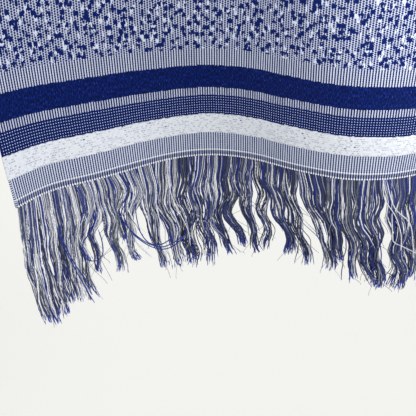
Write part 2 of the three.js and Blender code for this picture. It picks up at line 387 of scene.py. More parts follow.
@dataclass(frozen=True)
class SmoothLine:
    """A smooth line through points, in equal shares from one point to the next.

    Attributes:
        points: One row of three numbers for each point.
        kind: How the tangents follow from the points.
        slack: Half the share over which a direction is taken.
        divisions: How many parts the line's length is added up from.
    """

    points: np.ndarray
    kind: LineKind
    slack: float = 1e-4
    divisions: int = 600

    def at(self, share: np.ndarray) -> np.ndarray:
        """Finds points of the line.

        Args:
            share: Shares of the line's stretches, from 0 to 1.

        Returns:
            A point for each share.
        """
        ends = (2 * self.points[0] - self.points[1], 2 * self.points[-1] - self.points[-2])
        padded = np.vstack([ends[0], self.points, ends[1]])
        spot = np.clip(np.asarray(share, float), 0, 1) * (len(self.points) - 1)
        first = np.clip(np.floor(spot).astype(int), 0, len(self.points) - 2)
        t = (spot - first)[:, None]
        near = [padded[first + k] for k in range(4)]
        leave, reach = self.tangents(near)
        start, end = near[1], near[2]
        curve = 2 * start - 2 * end + leave + reach
        return start + leave * t + (3 * end - 3 * start - 2 * leave - reach) * t**2 + curve * t**3

    def tangents(self, near: Sequence[np.ndarray]) -> tuple[np.ndarray, np.ndarray]:
        """Finds how the line leaves one point and reaches the next.

        Args:
            near: The point before, the two points, and the point after.

        Returns:
            The tangents at the two points.
        """
        gaps = [b - a for a, b in zip(near, near[1:])]
        wide = (near[2] - near[0], near[3] - near[1])
        if self.kind is LineKind.EVEN:
            return wide[0] / 2, wide[1] / 2
        d0, d1, d2 = (np.sqrt(np.linalg.norm(gap, axis=1))[:, None] for gap in gaps)
        leave = (gaps[0] / d0 - wide[0] / (d0 + d1) + gaps[1] / d1) * d1
        reach = (gaps[1] / d1 - wide[1] / (d1 + d2) + gaps[2] / d2) * d1
        return leave, reach

    def directions(self, share: np.ndarray) -> np.ndarray:
        """The unit tangents of the line at shares from 0 to 1."""
        before, after = np.clip(share - self.slack, 0, 1), np.clip(share + self.slack, 0, 1)
        return unit(self.at(after) - self.at(before))

    def distances(self) -> np.ndarray:
        """How far along the line each of its even divisions lies."""
        spots = self.at(np.linspace(0, 1, self.divisions + 1))
        return np.concatenate([[0], np.cumsum(np.linalg.norm(np.diff(spots, axis=0), axis=1))])


@dataclass(frozen=True)
class Frames:
    """The cloth's own directions at places along it, one row for each place, and how it hangs there."""

    point: np.ndarray
    outward: np.ndarray
    inward: np.ndarray
    bunch: np.ndarray
    spread: np.ndarray


@dataclass
class ScarfForm:
    """The form of the worn scarf: where each place of the flat cloth lies, in millimetres.

    Places along the cloth count from the nape, below zero to the left, and places across it count from
    the outer edge to the one at the neck. The neck folds drift to and fro across the cloth and their slopes
    wander a little, each in a length of its own. A section bears on the line at bearing_depth deviations
    inside the mean of its seats.
    """

    width: float = 350.0
    length: float = 1800.0
    left_lower_by: float = 30.0
    wall: float = 2.0
    fold_drift: float = 7.0
    fold_drift_length: float = 620.0
    fold_wander: float = 0.08
    fold_wander_length: float = 430.0
    fold_wander_width: float = 190.0
    steps_per_fold: int = 7
    fine_step: float = 0.5
    bearing_depth: float = math.sqrt(2)

    def __post_init__(self) -> None:
        """Works out the line, its lengths and the place of the nape."""
        left = LEFT_COURSE[:0:-1]
        way = [(-s.out, -s.ahead, s.up) for s in left] + [(s.out, -s.ahead, s.up) for s in RIGHT_COURSE]
        looks = [(s.facing, s.rise, 0) for s in left]
        looks += [(360 - s.facing, s.rise, 0) for s in RIGHT_COURSE]
        hang = [(s.bunch, s.spread, 0) for s in (*left, *RIGHT_COURSE)]
        self.line = SmoothLine(np.array(way, float), LineKind.CENTRIPETAL)
        self.looks = SmoothLine(np.array(looks, float), LineKind.EVEN)
        self.hang = SmoothLine(np.array(hang, float), LineKind.EVEN)
        self.reached = self.line.distances()
        self.nape_at = self.reached[len(self.reached) // 2]
        self.origin = np.zeros(3)
        nape = self.points(np.zeros(1), self.fold_places(), -self.wall / 2)[0]
        self.origin = nape[np.argmin(nape @ self.frames(np.zeros(1)).outward[0])]

    def hem(self, end: End) -> float:
        """The place of an end's hem along the cloth."""
        middle = -self.left_lower_by / 2
        return middle - self.length / 2 if end is End.LEFT else middle + self.length / 2

    def frames(self, along: np.ndarray) -> Frames:
        """Finds the cloth's own directions.

        Args:
            along: Places along the cloth.

        Returns:
            The frames at those places.
        """
        share = np.interp(self.nape_at + along, self.reached, np.linspace(0, 1, len(self.reached)))
        facing, rise, _ = np.radians(self.looks.at(share)).T
        bunch, spread, _ = self.hang.at(share).T
        tangent = self.line.directions(share)
        level = np.cos(rise)
        outward = np.stack([-np.sin(facing) * level, -np.cos(facing) * level, np.sin(rise)], axis=1)
        outward = unit(outward - (outward * tangent).sum(1, keepdims=True) * tangent)
        return Frames(self.line.at(share), outward, np.cross(tangent, outward), bunch, spread)

    def fold_places(self) -> np.ndarray:
        """Finds the places by which a section is seated.

        Returns:
            Places across the cloth, closest where a fold turns fastest.
        """
        even = np.arange(1, self.steps_per_fold + 1) / self.steps_per_fold
        share = (even + np.arccos(1 - 2 * even) / np.pi) / 2
        spans = [(a.across, b.across - a.across) for a, b in zip(NECK_FOLDS, NECK_FOLDS[1:])]
        return np.concatenate([[0], *(start + wide * share for start, wide in spans)])

    def slopes(self, along: np.ndarray, across: np.ndarray, frames: Frames) -> np.ndarray:
        """Finds the slopes of the sections.

        Args:
            along: Places along the cloth.
            across: Places across it.
            frames: The frames at the places along.

        Returns:
            Slopes in radians, a row for each place along and a column for each place across.
        """
        drift = self.fold_drift * np.sin(TURN * along / self.fold_drift_length)
        turns = along[:, None] / self.fold_wander_length + across[None] / self.fold_wander_width
        folds = eased(NECK_FOLDS, across[None] + drift[:, None])
        folds = folds * (1 + self.fold_wander * np.sin(TURN * turns))
        waves = np.where((along < 0)[:, None], eased(LEFT_WAVES, across), eased(RIGHT_WAVES, across))
        return np.radians(frames.bunch[:, None] * folds + frames.spread[:, None] * waves)

    def points(self, along: np.ndarray, across: np.ndarray, off: float = 0.0) -> np.ndarray:
        """Finds points of the cloth.

        Args:
            along: Places along the cloth.
            across: Places across it.
            off: How far the points lie outward from the middle layer.

        Returns:
            A row for each place along, a column for each place across, and three coordinates.
        """
        frames = self.frames(along)
        edges = np.linspace(0, self.width, int(round(self.width / self.fine_step)) + 1)
        slope = self.slopes(along, (edges[1:] + edges[:-1]) / 2, frames)
        start = np.zeros((len(along), 1))
        ins = np.hstack([start, np.cumsum(np.cos(slope), axis=1) * self.fine_step])
        outs = np.hstack([start, np.cumsum(np.sin(slope), axis=1) * self.fine_step])
        seats = self.fold_places()
        seat_in, seat_out = read_rows(edges, ins, seats), read_rows(edges, outs, seats)
        middle = (seat_in.min(1) + seat_in.max(1)) / 2
        bearing = seat_out.mean(1) - self.bearing_depth * seat_out.std(1)
        here = self.slopes(along, across, frames)
        inward = read_rows(edges, ins, across) - middle[:, None] - off * np.sin(here)
        outward = read_rows(edges, outs, across) - bearing[:, None] + off * np.cos(here)
        spread = inward[..., None] * frames.inward[:, None] + outward[..., None] * frames.outward[:, None]
        return frames.point[:, None] + spread - self.origin


class NodeTree:
    """A shader or geometry node tree, with one method that adds any node."""

    def __init__(self, tree: bpy.types.NodeTree) -> None:
        """Keeps the tree that the nodes go to."""
        self.tree = tree

    def add(self, kind: str, settings: Values | None = None, sockets: Values | None = None) -> Node:
        """Adds a node.

        Args:
            kind: The node's type.
            settings: Its own settings, which are set first.
            sockets: A value or a link for each input, by the input's identifier.

        Returns:
            The node.
        """
        node = self.tree.nodes.new(kind)
        for name, setting in (settings or {}).items():
            setattr(node, name, setting)
        for identifier, value in (sockets or {}).items():
            socket = next(s for s in node.inputs if s.identifier == identifier)
            if isinstance(value, Number):
                value = value.socket
            if isinstance(value, Socket):
                self.tree.links.new(value, socket)
            else:
                socket.default_value = value
        return node

    def output(self, node: Node, identifier: str) -> Socket:
        """A node's output by its identifier."""
        return next(s for s in node.outputs if s.identifier == identifier)

    def number(self, kind: str, output: str, settings: Values, sockets: Values) -> "Number":
        """Adds a node and gives one of its outputs as a number."""
        return Number(self, self.add(kind, settings, sockets).outputs[output])


class Number:
    """A number that varies over a surface: a node's output, with arithmetic written as Python."""

    def __init__(self, tree: NodeTree, socket: Socket) -> None:
        """Keeps the output and the tree that it is in."""
        self.tree = tree
        self.socket = socket

    def math(self, operation: str, *terms: "Number | float") -> "Number":
        """The result of a Math node on these terms, in their order."""
        sockets = dict(zip(("Value", "Value_001", "Value_002"), terms))
        return self.tree.number("ShaderNodeMath", "Value", {"operation": operation}, sockets)

    def __add__(self, other: "Number | float") -> "Number":
        """The sum."""
        return self.math("ADD", self, other)

    __radd__ = __add__

    def __sub__(self, other: "Number | float") -> "Number":
        """The difference."""
        return self.math("SUBTRACT", self, other)

    def __rsub__(self, other: "Number | float") -> "Number":
        """The difference from a value on the left."""
        return self.math("SUBTRACT", other, self)

    def __mul__(self, other: "Number | float") -> "Number":
        """The product."""
        return self.math("MULTIPLY", self, other)

    __rmul__ = __mul__

    def __truediv__(self, other: "Number | float") -> "Number":
        """The quotient."""
        return self.math("DIVIDE", self, other)

    def __pow__(self, other: "Number | float") -> "Number":
        """The power."""
        return self.math("POWER", self, other)

    def __abs__(self) -> "Number":
        """The size without the sign."""
        return self.math("ABSOLUTE", self)

    def floor(self) -> "Number":
        """The whole number below."""
        return self.math("FLOOR", self)

    def fraction(self) -> "Number":
        """What is left above the whole number below."""
        return self.math("FRACT", self)

    def sine(self) -> "Number":
        """The sine of an angle in radians."""
        return self.math("SINE", self)

    def bearing(self, x: "Number") -> "Number":
        """The angle in radians of the direction that has this as its y."""
        return self.math("ARCTAN2", self, x)

    def least(self, other: "Number | float") -> "Number":
        """The lesser of two."""
        return self.math("MINIMUM", self, other)

    def most(self, other: "Number | float") -> "Number":
        """The greater of two."""
        return self.math("MAXIMUM", self, other)

    def ramp(self, low: float, high: float) -> "Number":
        """Makes a mask with a soft step.

        Args:
            low: Where it is 0.
            high: Where it is 1, which may be the lesser of the two.

        Returns:
            The mask.
        """
        settings = {"interpolation_type": "SMOOTHSTEP"}
        sockets = {"Value": self, "From Min": min(low, high), "From Max": max(low, high)}
        sockets |= {"To Min": float(low > high), "To Max": float(low < high)}
        return self.tree.number("ShaderNodeMapRange", "Result", settings, sockets)


class Recipe(NodeTree):
    """A geometry-node tree with named inputs, which turns a guide mesh into a finished piece."""

    def __init__(self, name: str) -> None:
        """Makes the tree with its geometry input and output."""
        super().__init__(bpy.data.node_groups.new(name, "GeometryNodeTree"))
        for way in ("INPUT", "OUTPUT"):
            self.tree.interface.new_socket("Geometry", in_out=way, socket_type="NodeSocketGeometry")
        self.start = self.tree.nodes.new("NodeGroupInput")
        self.values: Values = {}

    def geometry(self) -> Socket:
        """The guide that the tree is given."""
        return self.start.outputs[0]

    def given(self, name: str, kind: str, value: object) -> Socket:
        """Adds a named input.

        Args:
            name: The input's name.
            kind: Its socket type, such as Float, Int or Material.
            value: What the modifier sets it to.

        Returns:
            The socket to link from.
        """
        item = self.tree.interface.new_socket(name, in_out="INPUT", socket_type=f"NodeSocket{kind}")
        self.values[item.identifier] = value
        return self.output(self.start, item.identifier)

    def amount(self, name: str, value: float) -> Number:
        """Adds a named size and gives it as a number."""
        return Number(self, self.given(name, "Float", value))

    def named(self, name: str, kind: str = "FLOAT_VECTOR") -> Socket:
        """A point attribute of the guide."""
        node = self.add("GeometryNodeInputNamedAttribute", {"data_type": kind}, {"Name": name})
        return self.output(node, "Attribute")

    def keep(self, geometry: Socket, name: str, kind: str, value: object) -> Socket:
        """Stores a value at each point of a geometry under a name."""
        sockets = {"Geometry": geometry, "Name": name, "Value": value}
        return self.add("GeometryNodeStoreNamedAttribute", {"data_type": kind}, sockets).outputs[0]

    def random(self, low: object, high: object, seed: int, kind: str = "FLOAT") -> Socket:
        """Adds a random value for each point.

        Args:
            low: The least value.
            high: The greatest value.
            seed: The fixed seed.
            kind: FLOAT for a number, or FLOAT_VECTOR for a vector.

        Returns:
            The socket to link from.
        """
        least, most, output = {"FLOAT": ("Min_001", "Max_001", 1), "FLOAT_VECTOR": ("Min", "Max", 0)}[kind]
        sockets = {least: low, most: high, "Seed": seed}
        return self.add("FunctionNodeRandomValue", {"data_type": kind}, sockets).outputs[output]

    def place(self, points: Socket, instance: Socket, turn: Socket, scale: Socket) -> Socket:
        """Puts a copy of a shape on each point.

        Args:
            points: The points.
            instance: The shape.
            turn: The copies' rotation.
            scale: Their scale.

        Returns:
            The copies' geometry.
        """
        sockets = {"Points": points, "Instance": instance, "Rotation": turn, "Scale": scale}
        return self.add("GeometryNodeInstanceOnPoints", {}, sockets).outputs[0]

    def tube(self, curve: Socket, profile: Socket, scale: Number) -> Socket:
        """Sweeps a profile along a curve, with closed ends."""
        sockets = {"Curve": curve, "Profile Curve": profile, "Scale": scale, "Fill Caps": True}
        return self.add("GeometryNodeCurveToMesh", {}, sockets).outputs[0]

    def ring(self, sides: Socket | int) -> Socket:
        """A round profile of radius 1."""
        sockets = {"Resolution": sides, "Radius": 1.0}
        return self.add("GeometryNodeCurvePrimitiveCircle", {}, sockets).outputs[0]

    def smooth(self, geometry: Socket) -> Socket:
        """A geometry with smooth shading."""
        return self.add("GeometryNodeSetShadeSmooth", {}, {"Geometry": geometry}).outputs[0]

    def apply(self, piece: Piece, geometry: Socket, finish: Material) -> None:
        """Ends the tree, runs it on a piece and leaves its result there as a plain mesh.

        Args:
            piece: The guide's object.
            geometry: The tree's last geometry.
            finish: The piece's material.
        """
        real = self.add("GeometryNodeRealizeInstances", {}, {"Geometry": geometry})
        sockets = {"Geometry": real.outputs[0], "Material": self.given("Finish", "Material", finish)}
        last = self.add("GeometryNodeSetMaterial", {}, sockets)
        self.tree.links.new(last.outputs[0], self.tree.nodes.new("NodeGroupOutput").inputs[0])
        modifier = piece.modifiers.new(self.tree.name, "NODES")
        modifier.node_group = self.tree
        for identifier, value in self.values.items():
            modifier[identifier] = value
        depsgraph = bpy.context.evaluated_depsgraph_get()
        made = piece.evaluated_get(depsgraph)
        plain = bpy.data.meshes.new_from_object(made, preserve_all_data_layers=True, depsgraph=depsgraph)
        piece.modifiers.clear()
        piece.data = plain
        plain.name = piece.name


class Surface(NamedTuple):
    """How a finish takes the light, the same all over."""

    roughness: float
    gloss: float
    sheen: float = 0.0
    sheen_roughness: float = 0.5

    def sockets(self) -> Values:
        """Its values by the shader's own sockets."""
        return dict(zip(("Roughness", "Specular IOR Level", "Sheen Weight", "Sheen Roughness"), self))


class Shader(NodeTree):
    """A material's node tree, with the few steps that the finishes share."""

    def __init__(self, name: str) -> None:
        """Makes an empty material."""
        self.material = bpy.data.materials.new(name)
        self.material.use_nodes = True
        super().__init__(self.material.node_tree)
        self.tree.nodes.clear()

    def attribute(self, name: str) -> Node:
        """The node that reads one of the piece's own attributes."""
        return self.add("ShaderNodeAttribute", {"attribute_name": name})

    def parts(self, vector: Socket) -> tuple[Number, Number, Number]:
        """The three numbers of a vector."""
        node = self.add("ShaderNodeSeparateXYZ", {}, {"Vector": vector})
        return tuple(Number(self, output) for output in node.outputs)

    def vector(self, x: Number | float, y: Number | float, z: Number | float = 0.0) -> Socket:
        """A vector of three numbers."""
        return self.add("ShaderNodeCombineXYZ", {}, {"X": x, "Y": y, "Z": z}).outputs[0]

    def chance(self, x: Number | float, y: Number | float, z: Number | float = 0.0) -> Number:
        """A number from 0 to 1 that is the same wherever x, y and z are, and unlike its neighbours."""
        return self.number("ShaderNodeTexWhiteNoise", "Value", {}, {"Vector": self.vector(x, y, z)})

    def clouds(self, where: Socket, scale: float = 1.0, detail: float = 2.0) -> Number:
        """Soft noise about 0.5."""
        sockets = {"Vector": where, "Scale": scale, "Detail": detail}
        return self.number("ShaderNodeTexNoise", "Fac", {}, sockets)

    def mix(self, way: str, factor: Number | float, one: object, other: object) -> Socket:
        """Puts two colours together.

        Args:
            way: The Mix node's way, such as MIX or MULTIPLY.
            factor: How much of the other colour comes in.
            one: The first colour or its socket.
            other: The other colour or its socket.

        Returns:
            The colour's socket.
        """
        settings = {"data_type": "RGBA", "blend_type": way, "clamp_factor": True}
        sockets = {"Factor_Float": factor, "A_Color": one, "B_Color": other}
        return self.output(self.add("ShaderNodeMix", settings, sockets), "Result_Color")

    def blend(self, factor: Number, one: object, other: object) -> Socket:
        """A colour between two."""
        return self.mix("MIX", factor, one, other)

    def finish(self, colour: object, height: Number | None, depth: float, surface: Surface) -> Material:
        """Ends the material with its shader.

        Args:
            colour: The base colour or its socket.
            height: The relief, or None for a smooth finish.
            depth: The relief's height in metres.
            surface: How it takes the light.

        Returns:
            The material.
        """
        sockets = {"Base Color": colour, **surface.sockets()}
        if height is not None:
            bump = self.add("ShaderNodeBump", {}, {"Strength": 1.0, "Distance": depth, "Height": height})
            sockets["Normal"] = bump.outputs["Normal"]
        shader = self.add("ShaderNodeBsdfPrincipled", {}, sockets)
        self.add("ShaderNodeOutputMaterial", {}, {"Surface": shader.outputs["BSDF"]})
        return self.material


def dye(red: int, green: int, blue: int) -> Colour:
    """A colour of a screen's three numbers from 0 to 255, as the renderer takes it."""
    linear = [((v / 255 + 0.055) / 1.055) ** 2.4 if v > 10 else v / 255 / 12.92 for v in (red, green, blue)]
    return (*linear, 1.0)


@dataclass(frozen=True)
class Bands:
    """Where one band of the end gives way to the next, in millimetres above the hem's edge."""

    hem: float = 5.6
    ribs: float = 19.3
    white: float = 34.6
    lattice: float = 49.5
    lower_strip: float = 55.3
    solid: float = 72.1
    upper_strip: float = 84.0

    def edges(self) -> tuple[float, ...]:
        """All the borders, from the hem upwards."""
        return astuple(self)


class KnitPlace(NamedTuple):
    """Where a point lies in the knit, as the shader's numbers.

    cloth is the place in the cloth's own measure, and ragged the height above the hem with the wander of
    the bands' edges. from_spine counts from a rib's middle, in ribs, and in_row within a row of stitches,
    in rows. shift is a chance number of the rib, about 0.
    """

    shader: Shader
    cloth: Socket
    across: Number
    run: Number
    above: Number
    ragged: Number
    wale: Number
    from_spine: Number
    in_row: Number
    shift: Number


@dataclass(frozen=True)
class Ribs:
    """A band of dark lines between white ribs, broken up a little from row to row.

    Attributes:
        between: How dark it is between ribs.
        gap: How much less dark between rows.
        rib: How much less dark on a rib.
        uneven: How much that differs from rib to rib.
        spine: The white middle of a rib.
        tick: The dark part of a row.
    """

    between: float
    gap: float
    rib: float
    uneven: float = 0.22
    spine: Ramp = (0.245, 0.195)
    tick: Ramp = (0.4, 0.3)

    def dark(self, at: KnitPlace) -> Number:
        """The dark of the band."""
        spine, tick = at.from_spine.ramp(*self.spine), abs(at.in_row - 0.5).ramp(*self.tick)
        return self.between - (1 - tick) * self.gap - spine * self.rib + at.shift * self.uneven * spine


@dataclass(frozen=True)
class HemRibs:
    """The hem's fainter ribs, with a dark channel between its two lines of stitches.

    Attributes:
        between: How dark it is between ribs.
        channel: How much darker in the channel.
        rib: How much less dark on a rib.
        below: The channel's upper edge.
        spine: The white middle of a rib.
    """

    between: float = 0.74
    channel: float = 0.26
    rib: float = 0.54
    below: Ramp = (4.4, 3.9)
    spine: Ramp = (0.245, 0.195)

    def dark(self, at: KnitPlace) -> Number:
        """The dark of the band."""
        channel = at.above.ramp(*self.below) * self.channel
        return self.between + channel - at.from_spine.ramp(*self.spine) * self.rib


@dataclass(frozen=True)
class Dashes:
    """A white band with short faint dashes, and a strong one here and there.

    Attributes:
        course: The height of a row of dashes.
        slant: How much higher a dash lies beside its rib.
        ground: The dark of the white.
        faint: The dark of the faint dashes.
        strong: The dark that the strong ones have besides.
        faint_ones: Which chance numbers make a faint dash.
        strong_ones: Which make a strong one.
        tall: A dash's upper and lower edge.
        wide: Its ends.
    """

    course: float = 1.6
    slant: float = 0.5
    ground: float = 0.02
    faint: float = 0.42
    strong: float = 0.45
    faint_ones: Ramp = (0.2, 0.95)
    strong_ones: Ramp = (0.987, 0.992)
    tall: Ramp = (0.38, 0.2)
    wide: Ramp = (0.48, 0.3)

    def dark(self, at: KnitPlace) -> Number:
        """Finds the dark of the band.

        Args:
            at: The place in the knit.

        Returns:
            The dark.
        """
        row = (at.above + at.from_spine * self.slant) / self.course
        wale = at.wale + (row.floor() * 0.5).fraction()
        seat = at.shader.chance(wale.floor(), row.floor(), 6.0)
        bar = abs(row.fraction() - 0.5).ramp(*self.tall) * abs(wale.fraction() - 0.5).ramp(*self.wide)
        faint, strong = seat.ramp(*self.faint_ones) * bar, seat.ramp(*self.strong_ones) * bar
        return self.ground + faint * self.faint + strong * self.strong


@dataclass(frozen=True)
class Lattice:
    """A dark band with small white dots, one to each rib and row.

    Attributes:
        course: The height of a row of dots.
        unlevel: How far a rib's dots lie off their rows.
        narrow: How much narrower than high a dot is.
        dot: A dot, by the square of the distance.
    """

    course: float = 1.95
    unlevel: float = 0.2
    narrow: float = 1.15
    dot: Ramp = (0.19, 0.1)

    def dark(self, at: KnitPlace) -> Number:
        """Finds the dark of the band.

        Args:
            at: The place in the knit.

        Returns:
            The dark.
        """
        row = (at.above + at.shift * self.unlevel) / self.course
        beside, beyond = at.from_spine * RIB * self.narrow, (row.fraction() - 0.5) * self.course
        return 1.0 - (beside**2 + beyond**2).ramp(*self.dot)


@dataclass(frozen=True)
class Speckles:
    """The speckled field: a net of small pits, with dark spots and white flecks.

    Attributes:
        apart: The distance between spots.
        spot: A spot's radius, as a share of that distance.
        fleck: The same for a fleck.
        fleck_tall: How many times higher than wide a fleck is.
        crowding: The scale on which the spots crowd.
        crowd: How much that changes their size.
        fleck_crowd: How much of this the flecks have.
        wild: How uneven the edges of spots and flecks are.
        net: How dark the net is.
        slub: How much that differs from place to place.
        pit: A pit of the net, by the square of the distance.
    """

    apart: float = 5.0
    spot: float = 0.3
    fleck: float = 0.18
    fleck_tall: float = 1.8
    crowding: float = 0.11
    crowd: float = 0.36
    fleck_crowd: float = 0.4
    wild: float = 0.14
    net: float = 0.14
    slub: float = 0.4
    pit: Ramp = (0.56, 0.38)

    def spots(self, at: KnitPlace, x: Number, y: Number, size: Number, salt: float) -> Number:
        """Makes irregular spots of whole stitches.

        Args:
            at: The place in the knit.
            x: The place across the cloth, in distances between spots.
            y: The place along it, in the same.
            size: A spot's radius, in the same.
            salt: A number that is unlike that of the other spots.

        Returns:
            The spots, as 1 in a spot and 0 beside it.
        """
        sockets = {"Vector": at.shader.vector(x, y), "Scale": 1.0, "Randomness": 0.95}
        near = at.shader.number("ShaderNodeTexVoronoi", "Distance", {"voronoi_dimensions": "2D"}, sockets)
        wild = at.shader.chance(*self.stitch(at), salt) - 0.5
        return (near - size + wild * self.wild).ramp(0.02, -0.02)

    def stitch(self, at: KnitPlace) -> tuple[Number, Number]:
        """The whole numbers of a stitch's leg and row."""
        return (at.wale * 2).floor(), (at.run / COURSE + at.from_spine).floor()

    def marks(self, at: KnitPlace) -> tuple[Number, Number, Number]:
        """Makes the field.

        Args:
            at: The place in the knit.

        Returns:
            Its dark, and of it the spots and the pits.
        """
        leg, row = self.stitch(at)
        x, y = (leg + 0.5) * RIB / 2, (row + 0.25) * COURSE
        crowd = at.shader.clouds(at.shader.vector(at.across, at.run, 3.0), self.crowding, 1.0)
        crowd = (crowd - 0.5) * self.crowd
        spots = self.spots(at, x / self.apart, y / self.apart, self.spot + crowd, 1.0)
        # The flecks are read far away from the spots, so that they don't follow them.
        x, y = (x + 900.0) / self.apart, (y + 500.0) / (self.apart * self.fleck_tall)
        flecks = self.spots(at, x, y, self.fleck + crowd * self.fleck_crowd, 2.0)

        beside = at.wale + 0.5
        row = at.run / COURSE + (beside.floor() * 0.5).fraction()
        pits = ((beside.fraction() - 0.5) * RIB) ** 2 + ((row.fraction() - 0.5) * COURSE) ** 2
        pits = pits.ramp(*self.pit)
        slub = at.shader.clouds(at.shader.vector(at.across * 0.9, at.run * 0.9, 7.0)) - 0.5
        net = self.net + pits * (1 - self.net) + slub * self.slub
        return (net * (1 - flecks)).most(spots), spots, pits


@dataclass(frozen=True)
class KnitFinish:
    """The two-colour knit in the cloth's own measure: the bands of both ends and the speckled field.

    Its dark runs from 0 for the white yarn to 1 for the blue.

    Attributes:
        slant: How many rows higher a stitch lies beside its rib.
        ragged: How far the bands' edges wander from rib to rib.
        soft: Half the softness of a band's edge.
        rim: The strip along the outer edge whose dark lines have gaps.
        rim_gap: These gaps, from a row's middle.
        rim_white: How white they are.
        grain: How fine the solid band's grain is, across and along.
        grain_light: Where it is lighter.
        grain_white: How much.
        grain_blue: Where it is bluer.
        fuzz: How much the dark differs from thread to thread.
        deep_ribs: How deep the ribs' blue is.
        deep_spots: The same for the spots.
        deep_pits: The same for the pits.
        level: How much of a stitch's height is the same all along it.
        lumpy: How much more relief the white band has.
        relief: The height of the stitches.
    """

    slant: float = 0.9
    ragged: float = 0.6
    soft: float = 0.12
    rim: Ramp = (0.45, 0.2)
    rim_gap: Ramp = (0.15, 0.3)
    rim_white: float = 0.7
    grain: tuple[float, float] = (1.7, 0.42)
    grain_light: Ramp = (0.66, 0.8)
    grain_white: float = 0.16
    grain_blue: Ramp = (0.47, 0.61)
    fuzz: float = 0.22
    deep_ribs: float = 0.76
    deep_spots: float = 0.6
    deep_pits: float = 0.66
    level: float = 0.55
    lumpy: float = 1.6
    relief: float = 0.35 * MM
    bands: Bands = Bands()
    hem: HemRibs = HemRibs()
    ribs: Ribs = Ribs(1.06, 0.32, 1.03)
    dashes: Dashes = Dashes()
    lattice: Lattice = Lattice()
    lower_strip: Ribs = Ribs(1.06, 0.0, 0.92)
    upper_strip: Ribs = Ribs(1.08, 0.2, 0.98)
    speckles: Speckles = Speckles()
    surface: Surface = Surface(0.92, 0.06, 0.03, 0.5)
    white: Colour = dye(220, 224, 233)
    # Painted reflection: outside the white band the white yarn is tinted blue, as if lit by light bounced
    # off the blue yarn beside it.
    bluish: Colour = dye(218, 226, 246)
    dotted: Colour = dye(198, 213, 249)
    ink: Colour = dye(17, 45, 136)
    navy: Colour = dye(12, 40, 127)
    deep: Colour = dye(5, 19, 69)

    def place(self, shader: Shader, length: float) -> KnitPlace:
        """Finds where a point lies in the knit.

        Args:
            shader: The material's tree.
            length: The cloth's length, whose two ends have the same bands.

        Returns:
            The place.
        """
        cloth = shader.attribute("knit_at").outputs["Vector"]
        across, run, _ = shader.parts(cloth)
        above, wale = run.least(length - run), across / RIB
        shift, spine = shader.chance(wale.floor(), 3.0) - 0.5, abs(wale.fraction() - 0.5)
        ragged, row = above + shift * self.ragged, (run / COURSE + spine * self.slant).fraction()
        return KnitPlace(shader, cloth, across, run, above, ragged, wale, spine, row, shift)

    def within(self, at: KnitPlace, low: float, high: float, soft: float) -> Number:
        """A mask of what lies between two heights above the hem."""
        return at.ragged.ramp(low - soft, low + soft) * at.ragged.ramp(high + soft, high - soft)

    def dark(self, at: KnitPlace, grain: Number, speckles: Number) -> Number:
        """Lays the bands over each other, from the hem upwards.

        Args:
            at: The place in the knit.
            grain: The solid band's grain.
            speckles: The dark of the speckled field.

        Returns:
            The dark of the whole cloth.
        """
        gaps = at.across.ramp(*self.rim) * abs(at.in_row - 0.5).ramp(*self.rim_gap) * self.rim_white
        dark = self.hem.dark(at) - gaps
        bands = (
            self.ribs.dark(at) - gaps,
            self.dashes.dark(at),
            self.lattice.dark(at),
            self.lower_strip.dark(at),
            1.0 - grain.ramp(*self.grain_light) * self.grain_white,
            self.upper_strip.dark(at),
            speckles,
        )
        for edge, band in zip(self.bands.edges(), bands):
            over = at.ragged.ramp(edge - self.soft, edge + self.soft)
            dark = dark * (1 - over) + band * over
        fuzz = at.shader.clouds(at.cloth, 2.3, 3.0) - 0.5
        return dark + fuzz * self.fuzz * (1.02 - dark).most(0.0)

    def material(self, length: float) -> Material:
        """Makes the material.

        Args:
            length: The cloth's length, whose two ends have the same bands.

        Returns:
            The material.
        """
        shader, bands = Shader("knit"), self.bands
        at = self.place(shader, length)
        grain = shader.clouds(shader.vector(at.across * self.grain[0], at.above * self.grain[1], 5.0))
        speckles, spots, pits = self.speckles.marks(at)
        dark = self.dark(at, grain, speckles)

        solid = self.within(at, bands.lower_strip + 0.1, bands.solid - 0.1, 0.1)
        ribbed = at.above.ramp(bands.upper_strip + 0.4, bands.upper_strip - 0.4)
        spotted = (1 - ribbed) * (spots * self.deep_spots).most(pits * self.deep_pits)
        depth = (solid + ribbed * self.deep_ribs + spotted).least(1.0)
        blue = shader.blend(depth, self.ink, self.deep)
        blue = shader.blend(grain.ramp(*self.grain_blue) * solid, blue, self.navy)
        snowy = self.within(at, bands.ribs, bands.white, self.soft)
        latticed = self.within(at, bands.white, bands.lattice, self.soft)
        # Painted reflection: the white yarn takes a blue tint everywhere but in the white band.
        white = shader.blend(1 - snowy, self.white, self.bluish)
        white = shader.blend(latticed, white, self.dotted)

        legs, loops = ((at.wale * 2).fraction() * math.pi).sine(), (at.in_row * math.pi).sine()
        lumps = shader.clouds(shader.vector(at.across * 0.8, at.above * 1.1, 2.0))
        plain = legs * (self.level + (1 - self.level) * loops)
        height = plain * (1 - snowy) + lumps * self.lumpy * snowy
        return shader.finish(shader.blend(dark, white, blue), height, self.relief, self.surface)


